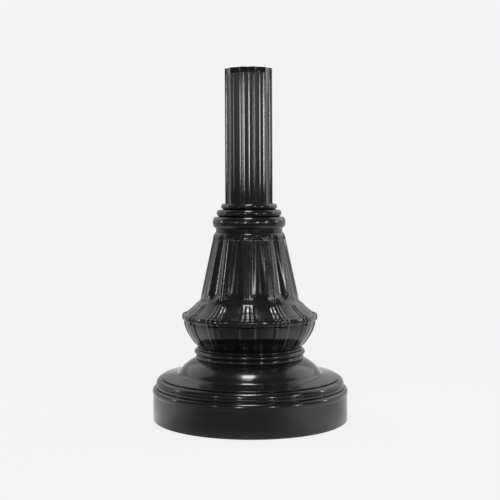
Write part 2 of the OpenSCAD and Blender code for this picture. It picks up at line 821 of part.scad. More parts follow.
module ground_washer() {
    color(steel) along_back(lug_y + lug_t) washer(small_screw_d);
}

module ground_screw() {
    color(steel) along_back(lug_y + ground_seat) {
        hexagon(head_r(small_screw_d), head_t(small_screw_d));
        translate([0, 0, -ground_seat - ground_thread_l])
            cylinder(r = small_screw_d / 2, h = ground_seat + ground_thread_l + eps);
    }
}

// Anchor plate: a square plate with rounded corners, four anchor holes and a hub for the shaft
module anchor_plate() {
    color(bare) difference() {
        union() {
            intersection() {
                translate([-plate_w / 2, -plate_w / 2, 0]) cube([plate_w, plate_w, plate_t]);
                cylinder(d = plate_corner_w, h = plate_t);
            }
            cylinder(r = hub_r, h = hub_h);
        }
        translate([0, 0, -eps]) cylinder(r = shaft_bore_r - land, h = hub_h + 2 * eps);
        translate([0, 0, hub_ledge_t]) cylinder(r = shaft_r + slip_clear, h = hub_h);
        ring_of(4, anchor_circle_d / 2, back / 2)
            translate([0, 0, -eps]) cylinder(d = anchor_hole_d, h = plate_t + 2 * eps);
    }
}

module anchor_weld() {
    color(bare) translate([0, 0, hub_h]) difference() {
        cylinder(r1 = shaft_r + loose + weld_leg, r2 = shaft_r + 2 * loose, h = weld_leg);
        translate([0, 0, -eps]) cylinder(r = shaft_r + loose, h = weld_leg + 2 * eps);
    }
}

shaft();
anchor_plate();
anchor_weld();
handhole_ring();
ground_boss();
ground_lug();
ground_washer();
ground_screw();
plinth();
dome();
dome_bolts();
dome_washers();
neck_ring();
centring_plate();
tie_bolts();
tie_washers();
tie_nuts();
bell();
collar();
collar_set_screws();
shaft_seal();
door_frame();
frame_screws();
access_door();
door_gasket();
door_screws();
door_screw_retainers();
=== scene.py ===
"""Looks of the lower section of an ornamental outdoor light pole.

The painted castings and the fluted shaft are built here as smooth, finely cut meshes that stand
for their CAD nodes. Fasteners and the weld get detailed pieces of their own. The other inner
pieces keep their CAD meshes and get a finish.
"""
import logging
import math
from dataclasses import dataclass, field
from enum import Enum
from typing import Callable, ClassVar, Optional, Sequence, Union

import bmesh
import bpy
import numpy as np
from mathutils import Euler, Matrix, Vector


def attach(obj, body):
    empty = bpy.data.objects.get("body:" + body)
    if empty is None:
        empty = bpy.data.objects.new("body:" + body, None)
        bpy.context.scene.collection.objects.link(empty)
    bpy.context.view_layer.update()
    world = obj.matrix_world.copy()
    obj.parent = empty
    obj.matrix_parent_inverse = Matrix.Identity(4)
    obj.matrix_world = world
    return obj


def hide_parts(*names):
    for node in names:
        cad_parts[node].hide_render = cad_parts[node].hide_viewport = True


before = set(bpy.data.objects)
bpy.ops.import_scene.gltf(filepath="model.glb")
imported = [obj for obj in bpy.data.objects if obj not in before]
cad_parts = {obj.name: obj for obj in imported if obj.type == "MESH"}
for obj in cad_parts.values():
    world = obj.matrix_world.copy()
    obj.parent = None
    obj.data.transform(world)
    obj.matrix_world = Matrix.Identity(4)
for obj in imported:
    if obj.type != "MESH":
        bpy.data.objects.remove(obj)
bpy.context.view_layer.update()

logging.basicConfig(level=logging.INFO, format="%(message)s")
LOG = logging.getLogger("light_pole")

MM = 0.001
BACK = 90.0  # angle of the pole's back, where the door is, in degrees
FASTENER_EDGE = 30.0  # edges of a fastener that turn by more degrees stay sharp
FLOAT = "NodeSocketFloat"

Point = tuple[float, float]
Path = list[Point]
Colour = tuple[float, float, float]
Row = tuple[object, object]  # a radius, or one for each angle, and a level
Number = Union[float, bpy.types.NodeSocket]


class Body(Enum):
    """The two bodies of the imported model."""

    BASE = "base"
    DOOR = "door"


class Slot(Enum):
    """The material slots of the finishes."""

    PAINT = "black_paint"
    ALUMINIUM = "bare_aluminium"
    STEEL = "stainless_steel"
    RUBBER = "rubber"
    COPPER = "copper"


# Node trees


class Tree:
    """Adds nodes to a node tree and links them."""

    def __init__(self, tree: bpy.types.NodeTree) -> None:
        """Keep the tree.

        Args:
            tree: The node tree to fill.
        """
        self.tree = tree

    def add(self, kind: str, inputs: Optional[dict] = None,
            **settings: object) -> bpy.types.Node:
        """Add a node, set it up and feed its inputs.

        Args:
            kind: Blender's name of the node type.
            inputs: Values or sockets by input name or index.
            **settings: Properties of the node.

        Returns:
            The new node.
        """
        node = self.tree.nodes.new(kind)
        for key, value in settings.items():
            setattr(node, key, value)
        for key, value in (inputs or {}).items():
            self.feed(node.inputs[key], value)
        return node

    def feed(self, socket: bpy.types.NodeSocket, value: object) -> None:
        """Link a socket to the input, or set the input to a value.

        Args:
            socket: The input.
            value: The socket to link, or the value to set.
        """
        if isinstance(value, bpy.types.NodeSocket):
            self.tree.links.new(value, socket)
        else:
            socket.default_value = value

    def calc(self, operation: str, *values: Number) -> bpy.types.NodeSocket:
        """Add a Math node.

        Args:
            operation: The Math node's operation.
            *values: Numbers or sockets for its inputs.

        Returns:
            The result's socket.
        """
        node = self.add("ShaderNodeMath", operation=operation)
        for index, value in enumerate(values):
            self.feed(node.inputs[index], value)
        return node.outputs[0]

    def product(self, *values: Number) -> bpy.types.NodeSocket:
        """Multiply two or more numbers or sockets, from the first to the last.

        Args:
            *values: The numbers or sockets.

        Returns:
            The product's socket.
        """
        result = values[0]
        for value in values[1:]:
            result = self.calc("MULTIPLY", result, value)
        return result

    def split(self, vector: bpy.types.NodeSocket) -> Sequence[bpy.types.NodeSocket]:
        """The x, y and z of a vector."""
        return self.add("ShaderNodeSeparateXYZ", {0: vector}).outputs

    def object_place(self) -> bpy.types.NodeSocket:
        """The place in the object's own space."""
        return self.add("ShaderNodeTexCoord").outputs["Object"]

    def noise(self, place: bpy.types.NodeSocket, scale: Number, detail: float,
              **more: float) -> bpy.types.NodeSocket:
        """Add a noise texture.

        Args:
            place: Socket of the place.
            scale: Number or socket of the scale.
            detail: The texture's detail.
            **more: Further inputs by name.

        Returns:
            The noise's socket.
        """
        inputs = {"Vector": place, "Scale": scale, "Detail": detail, **more}
        return self.add("ShaderNodeTexNoise", inputs).outputs[0]

    def spread(self, value: Number, low: Number, high: Number, to_low: Number = 0.0,
               to_high: Number = 1.0) -> bpy.types.NodeSocket:
        """Map a value from one range to another and hold it there.

        Args:
            value: The socket to map.
            low: Start of the range it comes from.
            high: End of the range it comes from.
            to_low: Result at low.
            to_high: Result at high.

        Returns:
            The mapped value's socket.
        """
        node = self.add("ShaderNodeMapRange", interpolation_type="SMOOTHSTEP")
        for index, item in enumerate((value, low, high, to_low, to_high)):
            self.feed(node.inputs[index], item)
        return node.outputs[0]


def shader_group(
        name: str, inputs: Sequence[tuple], outputs: Sequence[tuple],
        fill: Callable[[Tree, bpy.types.Node, bpy.types.Node], None]) -> bpy.types.NodeTree:
    """Make a shader node group once.

    Args:
        name: The group's name.
        inputs: Name, socket type and default of each input.
        outputs: Name and socket type of each output.
        fill: Function that adds the nodes between the group's input and output nodes.

    Returns:
        The node group.
    """
    group = bpy.data.node_groups.get(name)
    if group:
        return group
    group = bpy.data.node_groups.new(name, "ShaderNodeTree")
    for title, kind, default in inputs:
        item = group.interface.new_socket(title, in_out="INPUT", socket_type=kind)
        item.default_value = default
    for title, kind in outputs:
        group.interface.new_socket(title, in_out="OUTPUT", socket_type=kind)
    tree = Tree(group)
    fill(tree, tree.add("NodeGroupInput"), tree.add("NodeGroupOutput"))
    return group


def casting_waves() -> bpy.types.NodeTree:
    """Height of a painted casting: long waves of the mould, orange peel and a few nibs.

    Returns:
        The group.
    """

    def fill(tree: Tree, given: bpy.types.Node, out: bpy.types.Node) -> None:
        """Add the nodes between the group's ends.

        Args:
            tree: The group's nodes.
            given: Its input node.
            out: Its output node.
        """
        place, size = tree.object_place(), given.outputs
        waves = tree.noise(place, size["Wave Scale"], 1.0, Roughness=0.4)
        peel = tree.noise(place, size["Peel Scale"], 2.0, Roughness=0.5)
        nibs = tree.add("ShaderNodeTexVoronoi", {"Vector": place, "Scale": 60.0})
        nib = tree.product(tree.spread(nibs.outputs["Distance"], 0.0, 0.09, 1.0, 0.0),
                           tree.spread(tree.noise(place, 17.0, 2.0), 0.62, 0.7))
        height = tree.calc("MULTIPLY_ADD", waves, size["Wave Height"],
                           tree.product(peel, size["Peel Height"]))
        height = tree.calc("MULTIPLY_ADD", nib, size["Nib Height"], height)
        tree.feed(out.inputs["Height"], height)

    return shader_group(
        "casting waves",
        [("Wave Scale", FLOAT, 16.0), ("Wave Height", FLOAT, 0.1), ("Peel Scale", FLOAT, 420.0),
         ("Peel Height", FLOAT, 0.004), ("Nib Height", FLOAT, 0.03)],
        [("Height", FLOAT)], fill)


def settled_dust() -> bpy.types.NodeTree:
    """Mask of fine dust on faces that look up, with clouds and specks.

    Returns:
        The group.
    """

    def fill(tree: Tree, given: bpy.types.Node, out: bpy.types.Node) -> None:
        """Add the nodes between the group's ends.

        Args:
            tree: The group's nodes.
            given: Its input node.
            out: Its output node.
        """
        place = tree.object_place()
        facing = tree.add("ShaderNodeNewGeometry").outputs["Normal"]
        flat = tree.spread(tree.split(facing)["Z"], given.outputs["Steepest"], 1.0)
        cloud = tree.spread(tree.noise(place, 34.0, 5.0), 0.35, 0.75, 0.35, 1.0)
        speck = tree.spread(tree.noise(place, 1500.0, 1.0), 0.6, 0.75)
        both = tree.calc("MULTIPLY_ADD", speck, 0.25, cloud)
        tree.feed(out.inputs["Mask"], tree.product(flat, both, given.outputs["Amount"]))

    return shader_group("settled dust", [("Amount", FLOAT, 0.3), ("Steepest", FLOAT, 0.3)],
                        [("Mask", FLOAT)], fill)


def ground_scuffs() -> bpy.types.NodeTree:
    """Mask of scuffed, gritty paint in a thin band above the ground.

    Returns:
        The group.
    """

    def fill(tree: Tree, given: bpy.types.Node, out: bpy.types.Node) -> None:
        """Add the nodes between the group's ends.

        Args:
            tree: The group's nodes.
            given: Its input node.
            out: Its output node.
        """
        place = tree.object_place()
        ragged = tree.noise(place, 90.0, 4.0)
        lifted = tree.calc("MULTIPLY_ADD", ragged, -0.006, tree.split(place)["Z"])
        low = tree.spread(lifted, -0.002, given.outputs["Height"], 1.0, 0.0)
        chips = tree.spread(tree.noise(place, 320.0, 2.0), 0.45, 0.62)
        tree.feed(out.inputs["Mask"], tree.product(low, chips))

    return shader_group("ground scuffs", [("Height", FLOAT, 0.004)], [("Mask", FLOAT)], fill)


def metal_grain() -> bpy.types.NodeTree:
    """Height and tone of a cast or sawn metal skin: sand grain, pits and cloudy stains.

    Returns:
        The group.
    """

    def fill(tree: Tree, given: bpy.types.Node, out: bpy.types.Node) -> None:
        """Add the nodes between the group's ends.

        Args:
            tree: The group's nodes.
            given: Its input node.
            out: Its output node.
        """
        place, size = tree.object_place(), given.outputs
        grain = tree.noise(place, size["Grain Scale"], 4.0, Roughness=0.6)
        pits = tree.add("ShaderNodeTexVoronoi", {"Vector": place, "Scale": size["Pit Scale"]})
        pit = tree.spread(pits.outputs["Distance"], 0.05, 0.22, -1.0, 0.0)
        stains = tree.noise(place, 28.0, 6.0, Roughness=0.6, Distortion=0.4)
        height = tree.calc("MULTIPLY_ADD", pit, size["Pit Depth"], grain)
        tree.feed(out.inputs["Height"], height)
        tree.feed(out.inputs["Tone"], tree.spread(stains, 0.3, 0.7))

    return shader_group(
        "metal grain",
        [("Grain Scale", FLOAT, 700.0), ("Pit Scale", FLOAT, 160.0), ("Pit Depth", FLOAT, 0.3)],
        [("Height", FLOAT), ("Tone", FLOAT)], fill)


# Finishes


@dataclass(frozen=True)
class Finish:
    """What every finish shares: a name, a base colour and a material slot."""

    name: str
    slot: Slot
    colour: Colour

    def start(self) -> tuple[Tree, bpy.types.Node, bpy.types.Material]:
        """Make the material with its Principled shader.

        Returns:
            The node tree, the shader node and the material.
        """
        material = bpy.data.materials.new(self.name)
        material.use_nodes = True
        material.node_tree.nodes.clear()
        tree = Tree(material.node_tree)
        shader = tree.add("ShaderNodeBsdfPrincipled")
        tree.add("ShaderNodeOutputMaterial", {"Surface": shader.outputs[0]})
        shader.inputs["Base Color"].default_value = (*self.colour, 1.0)
        return tree, shader, material

    @staticmethod
    def mixed(tree: Tree, mask: bpy.types.NodeSocket, low: Union[Colour, bpy.types.NodeSocket],
              high: Colour) -> bpy.types.NodeSocket:
        """Mix two colours by a mask.

        Args:
            tree: The tree to add the node to.
            mask: Socket of the mask.
            low: Colour, or socket of the colour, where the mask is 0.
            high: Colour where the mask is 1.

        Returns:
            The mixed colour's socket.
        """
        node = tree.add("ShaderNodeMix", data_type="RGBA")
        tree.feed(node.inputs[0], mask)
        tree.feed(node.inputs[6], low if isinstance(low, bpy.types.NodeSocket) else (*low, 1.0))
        tree.feed(node.inputs[7], (*high, 1.0))
        return node.outputs[2]

    @staticmethod
    def bumped(tree: Tree, shader: bpy.types.Node, height: bpy.types.NodeSocket,
               depth: float) -> None:
        """Feed a height to the shader's normal.

        Args:
            tree: The tree to add the node to.
            shader: The Principled shader.
            height: Socket of the height.
            depth: Depth in metres of one unit of height.
        """
        bump = tree.add("ShaderNodeBump", {"Height": height, "Distance": depth, "Strength": 1.0})
        tree.feed(shader.inputs["Normal"], bump.outputs[0])


@dataclass(frozen=True)
class GlossPaint(Finish):
    """Gloss paint over cast aluminium."""

    rough: float = 0.17
    dust: float = 0.1
    wave_height: float = 0.035
    peel_height: float = 0.0007
    nib_height: float = 0.015
    coat: float = 0.35
    coat_rough: float = 0.06
    dust_colour: Colour = (0.09, 0.088, 0.084)
    scuff_colour: Colour = (0.07, 0.065, 0.06)

    def make(self) -> bpy.types.Material:
        """Build the material.

        Returns:
            The material.
        """
        tree, shader, material = self.start()
        waves = tree.add("ShaderNodeGroup", {
            "Wave Height": self.wave_height, "Peel Height": self.peel_height,
            "Nib Height": self.nib_height}, node_tree=casting_waves())
        dust = tree.add("ShaderNodeGroup", {"Amount": self.dust},
                        node_tree=settled_dust()).outputs["Mask"]
        scuff = tree.add("ShaderNodeGroup", node_tree=ground_scuffs()).outputs["Mask"]
        uneven = tree.noise(tree.object_place(), 48.0, 3.0)
        rough = tree.spread(uneven, 0.3, 0.7, self.rough - 0.03, self.rough + 0.04)
        rough = tree.calc("MULTIPLY_ADD", dust, 0.35, rough)
        rough = tree.calc("MULTIPLY_ADD", scuff, 0.4, rough)
        tree.feed(shader.inputs["Roughness"], rough)
        dusty = self.mixed(tree, dust, self.colour, self.dust_colour)
        tree.feed(shader.inputs["Base Color"], self.mixed(tree, scuff, dusty, self.scuff_colour))
        shader.inputs["Coat Weight"].default_value = self.coat
        shader.inputs["Coat Roughness"].default_value = self.coat_rough
        self.bumped(tree, shader, waves.outputs["Height"], MM)
        return material


@dataclass(frozen=True)
class RawMetal(Finish):
    """Bare metal with the skin that its making left."""

    stain: Colour = (0.4, 0.4, 0.4)
    rough: float = 0.45
    grain_scale: float = 700.0
    pit_scale: float = 160.0
    pit_depth: float = 0.3
    depth: float = 0.00012

    def make(self) -> bpy.types.Material:
        """Build the material.

        Returns:
            The material.
        """
        tree, shader, material = self.start()
        skin = tree.add("ShaderNodeGroup", {
            "Grain Scale": self.grain_scale, "Pit Scale": self.pit_scale,
            "Pit Depth": self.pit_depth}, node_tree=metal_grain())
        tone = skin.outputs["Tone"]
        tree.feed(shader.inputs["Base Color"], self.mixed(tree, tone, self.stain, self.colour))
        tree.feed(shader.inputs["Roughness"],
                  tree.spread(tone, 0.0, 1.0, self.rough + 0.12, self.rough - 0.06))
        shader.inputs["Metallic"].default_value = 1.0
        self.bumped(tree, shader, skin.outputs["Height"], self.depth)
        return material


@dataclass(frozen=True)
class MouldedRubber(Finish):
    """Matt rubber with a fine grain and a faint bloom."""

    bloom_colour: Colour = (0.06, 0.06, 0.06)
    grain_scale: float = 1800.0
    pit_depth: float = 0.05
    depth: float = 0.00004

    def make(self) -> bpy.types.Material:
        """Build the material.

        Returns:
            The material.
        """
        tree, shader, material = self.start()
        skin = tree.add("ShaderNodeGroup", {
            "Grain Scale": self.grain_scale, "Pit Depth": self.pit_depth}, node_tree=metal_grain())
        bloom = tree.spread(skin.outputs["Tone"], 0.4, 1.0, 0.0, 0.5)
        tree.feed(shader.inputs["Base Color"],
                  self.mixed(tree, bloom, self.colour, self.bloom_colour))
        tree.feed(shader.inputs["Roughness"], tree.spread(bloom, 0.0, 0.5, 0.62, 0.8))
        self.bumped(tree, shader, skin.outputs["Height"], self.depth)
        return material


class Finishes:
    """The finishes of the pole, each built once."""

    def __init__(self) -> None:
        """Build every material."""
        black = (0.010, 0.010, 0.011)
        self.paint = GlossPaint("gloss black paint", Slot.PAINT, black).make()
        self.shaft_paint = GlossPaint("gloss black shaft paint", Slot.PAINT, black,
                                      rough=0.09, wave_height=0.02).make()
        self.cast = RawMetal("cast aluminium", Slot.ALUMINIUM, (0.63, 0.64, 0.66),
                             stain=(0.47, 0.47, 0.48)).make()
        self.weld = RawMetal("weld metal", Slot.ALUMINIUM, (0.74, 0.75, 0.77),
                             stain=(0.5, 0.5, 0.52), rough=0.32, pit_depth=0.1).make()
        self.steel = RawMetal("satin stainless steel", Slot.STEEL, (0.6, 0.6, 0.61),
                              stain=(0.5, 0.5, 0.5), rough=0.28, grain_scale=2400.0,
                              pit_depth=0.02, depth=0.00002).make()
        self.copper = RawMetal("bare copper", Slot.COPPER, (0.78, 0.4, 0.24),
                               stain=(0.34, 0.16, 0.1), rough=0.33, grain_scale=1500.0,
                               pit_depth=0.05, depth=0.00003).make()
        self.rubber = MouldedRubber("black rubber", Slot.RUBBER, (0.018, 0.018, 0.018)).make()


# Paths and meshes


def nose(r: float, z0: float, z1: float, out: float, steps: int = 28) -> Path:
    """Points of a round moulding from z0 up to z1 that stands out of radius r."""
    turn = [math.pi * i / steps for i in range(steps + 1)]
    return [(r + out * math.sin(a), (z0 + z1) / 2 - (z1 - z0) / 2 * math.cos(a)) for a in turn]


def curve(start: Point, start_handle: Point, end_handle: Point, end: Point,
          steps: int = 60) -> Path:
    """Points of a curve between two ends, shaped by two handles that are offsets from them.

    Args:
        start: Where the curve starts.
        start_handle: The first handle.
        end_handle: The second handle.
        end: Where it ends.
        steps: Number of steps.

    Returns:
        The points, with both ends.
    """
    a, d = np.array(start), np.array(end)
    b, c = a + np.array(start_handle), d + np.array(end_handle)
    t = np.linspace(0.0, 1.0, steps + 1)[:, None]
    points = (1 - t) ** 3 * a + 3 * (1 - t) ** 2 * t * b + 3 * (1 - t) * t ** 2 * c + t ** 3 * d
    return [tuple(p) for p in points]


def eased(share: np.ndarray) -> np.ndarray:
    """A share from 0 to 1 that leaves and reaches its ends gently."""
    return share * share * (3 - 2 * share)


def held(value: np.ndarray) -> np.ndarray:
    """A value, or the nearest of 0 and 1 if it lies outside them."""
    return np.clip(value, 0.0, 1.0)


def soften(points: Path, closed: bool, step: float = 0.2, sigma: float = 0.5) -> np.ndarray:
    """Resample a path evenly and round its corners.

    Args:
        points: The path's points in mm.
        closed: Whether the path is a loop.
        step: Distance of the new points.
        sigma: How wide the corners are rounded.

    Returns:
        The new points, one row each.
    """
    path = np.array(points, float)
    if closed:
        path = np.vstack([path, path[:1]])
    gap = np.hypot(*np.diff(path, axis=0).T)
    path = path[np.r_[True, gap > 1e-6]]
    along = np.r_[0.0, np.cumsum(np.hypot(*np.diff(path, axis=0).T))]
    count = max(8, int(along[-1] / step))
    at = np.linspace(0.0, along[-1], count, endpoint=not closed)
    even = np.stack([np.interp(at, along, path[:, k]) for k in (0, 1)], axis=1)
    reach = int(3 * sigma / step) + 1
    weight = np.exp(-0.5 * (np.arange(-reach, reach + 1) * step / sigma) ** 2)
    weight /= weight.sum()
    if closed:
        padded = np.vstack([even[-reach:], even, even[:reach]])
    else:
        before, after = even[reach:0:-1], even[-2:-reach - 2:-1]
        padded = np.vstack([2 * even[0] - before, even, 2 * even[-1] - after])
    return np.stack([np.convolve(padded[:, k], weight, "valid") for k in (0, 1)], axis=1)


def thinned(points: np.ndarray, tolerance: float = 0.02, longest: float = 12.0) -> np.ndarray:
    """Drop the points of a path that lie on straight runs.

    Args:
        points: The path, one row for each point.
        tolerance: How far a dropped point may lie from the path.
        longest: Longest run without a point.

    Returns:
        The points that are kept. A long run has an extra point near each of its ends.
    """
    keep = {0, len(points) - 1}
    stack = [(0, len(points) - 1)]
    while stack:
        a, b = stack.pop()
        if b - a < 2:
            continue
        line = points[b] - points[a]
        length = float(np.hypot(*line))
        inner = points[a + 1:b] - points[a]
        if length < 1e-9:
            off = np.hypot(*inner.T)
        else:
            off = np.abs(inner[:, 0] * line[1] - inner[:, 1] * line[0]) / length
        worst = int(np.argmax(off))
        if off[worst] > tolerance or length > longest:
            middle = a + 1 + (worst if off[worst] > tolerance else (b - a) // 2 - 1)
            keep.add(middle)
            stack += [(a, middle), (middle, b)]
    kept = sorted(keep)
    for a, b in zip(kept[:-1], kept[1:]):
        if b - a > 12:
            keep |= {a + 2, b - 2}
    return points[sorted(keep)]


def grid_faces(rows: int, columns: int, loop_rows: bool, loop_columns: bool,
               first: int = 0) -> list[tuple[int, ...]]:
    """Faces between the points of a grid that is stored row by row.

    Args:
        rows: Number of rows.
        columns: Number of columns.
        loop_rows: Whether the last row joins the first.
        loop_columns: Whether the last column joins the first.
        first: Index of the grid's first point.

    Returns:
        The quads.
    """
    faces = []
    for i in range(rows if loop_rows else rows - 1):
        below, above = first + i * columns, first + (i + 1) % rows * columns
        for j in range(columns if loop_columns else columns - 1):
            k = (j + 1) % columns
            faces.append((below + j, below + k, above + k, above + j))
    return faces


def make_mesh(name: str, points: np.ndarray, faces: Sequence[Sequence[int]],
              sharp: float = 180.0) -> bpy.types.Mesh:
    """Make a smooth mesh whose faces look outwards.

    Args:
        name: The mesh's name.
        points: Points in mm.
        faces: Faces as indices of points.
        sharp: Edges that turn by more than this many degrees stay sharp.

    Returns:
        The mesh, in metres.
    """
    mesh = bpy.data.meshes.new(name)
    mesh.from_pydata((np.asarray(points, float) * MM).tolist(), [], [list(f) for f in faces])
    mesh.validate()
    form = bmesh.new()
    form.from_mesh(mesh)
    bmesh.ops.remove_doubles(form, verts=form.verts, dist=1e-7)
    bmesh.ops.recalc_face_normals(form, faces=form.faces)
    if form.calc_volume(signed=True) < 0:
        bmesh.ops.reverse_faces(form, faces=form.faces)
    form.to_mesh(mesh)
    form.free()
    mesh.shade_smooth()
    if sharp < 180.0:
        mesh.set_sharp_from_angle(angle=math.radians(sharp))
    return mesh


def turned(name: str, loop: np.ndarray, columns: int = 240) -> bpy.types.Mesh:
    """Turn a closed outline about the pole's axis.

    Args:
        name: The mesh's name.
        loop: Radius and level of each point of the outline, in mm.
        columns: Number of steps round the axis.

    Returns:
        The mesh.
    """
    angle = np.linspace(0.0, 2 * np.pi, columns, endpoint=False)
    r, z = loop[:, :1], loop[:, 1:]
    points = np.stack([r * np.cos(angle), r * np.sin(angle),
                       np.broadcast_to(z, (len(loop), columns))], axis=2)
    return make_mesh(name, points.reshape(-1, 3), grid_faces(len(loop), columns, True, True))


def loose_object(name: str, mesh: bpy.types.Mesh) -> bpy.types.Object:
    """Put a mesh into the scene as an object at the origin.

    Args:
        name: The object's name.
        mesh: Its mesh.

    Returns:
        The object.
    """
    piece = bpy.data.objects.new(name, mesh)
    bpy.context.scene.collection.objects.link(piece)
    return piece


def settle(piece: bpy.types.Object) -> bpy.types.Object:
    """Turn the result of an object's modifiers into its plain mesh.

    Args:
        piece: The object.

    Returns:
        The same object.
    """
    graph = bpy.context.evaluated_depsgraph_get()
    graph.update()
    mesh = bpy.data.meshes.new_from_object(piece.evaluated_get(graph))
    piece.modifiers.clear()
    piece.data = mesh
    return piece


def hand_over(piece: bpy.types.Object, body: Body, slot: Slot, material: bpy.types.Material,
              *nodes: str) -> bpy.types.Object:
    """Give a piece its finish and its body, and hide the CAD nodes that it stands for.

    Args:
        piece: The finished object.
        body: The body that it rides on.
        slot: Not used.
        material: Its material.
        *nodes: The CAD nodes that it replaces.

    Returns:
        The same object.
    """
    piece.data.materials.clear()
    piece.data.materials.append(material)
    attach(piece, body.value)
    if nodes:
        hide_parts(*nodes)
    LOG.info("%s: %d faces, on %s, for %s", piece.name, len(piece.data.polygons), body.value,
             ", ".join(nodes) or "no node")
    return piece


def cut(piece: bpy.types.Object, tools: Sequence[bpy.types.Object], sharp: float = 35.0) -> None:
    """Cut tools out of a piece and remove the tools.

    Args:
        piece: The object to cut.
        tools: The objects whose space is taken away.
        sharp: Edges that turn by more than this many degrees stay sharp.
    """
    for tool in tools:
        step = piece.modifiers.new("cut", "BOOLEAN")
        step.object, step.operation, step.solver = tool, "DIFFERENCE", "EXACT"
    settle(piece)
    for tool in tools:
        bpy.data.objects.remove(tool)
    piece.data.shade_smooth()
    piece.data.set_sharp_from_angle(angle=math.radians(sharp))


# Geometry node trees


class Rule:
    """A geometry node tree with named inputs, and its use on an object."""

    def __init__(self, name: str, inputs: Sequence[tuple[str, str]]) -> None:
        """Make the tree with its sockets.

        Args:
            name: The tree's name.
            inputs: Name and socket type of each input after the geometry.
        """
        self.group = bpy.data.node_groups.new(name, "GeometryNodeTree")
        face = self.group.interface
        face.new_socket("Geometry", in_out="INPUT", socket_type="NodeSocketGeometry")
        self.keys = {title: face.new_socket(title, in_out="INPUT", socket_type=kind).identifier
                     for title, kind in (*inputs, ("Material", "NodeSocketMaterial"))}
        face.new_socket("Geometry", in_out="OUTPUT", socket_type="NodeSocketGeometry")
        self.tree = Tree(self.group)
        self.given = self.tree.add("NodeGroupInput").outputs
        self.out = self.tree.add("NodeGroupOutput")

    def close(self, geometry: bpy.types.NodeSocket) -> None:
        """End the tree in Realize Instances and Set Material.

        Args:
            geometry: Socket of the finished geometry.
        """
        real = self.tree.add("GeometryNodeRealizeInstances", {0: geometry})
        last = self.tree.add("GeometryNodeSetMaterial", {"Geometry": real.outputs[0],
                                                         "Material": self.given["Material"]})
        self.tree.feed(self.out.inputs[0], last.outputs[0])

    def use(self, piece: bpy.types.Object, **values: object) -> bpy.types.Object:
        """Run the rule on an object and keep the result as its plain mesh.

        Args:
            piece: The object.
            **values: Input values, with an underscore for each space of an input's name.

        Returns:
            The same object.
        """
        step = piece.modifiers.new(self.group.name, "NODES")
        step.node_group = self.group
        for title, value in values.items():
            step[self.keys[title.replace("_", " ")]] = value
        settle(piece)
        piece.data.shade_smooth()
        return piece


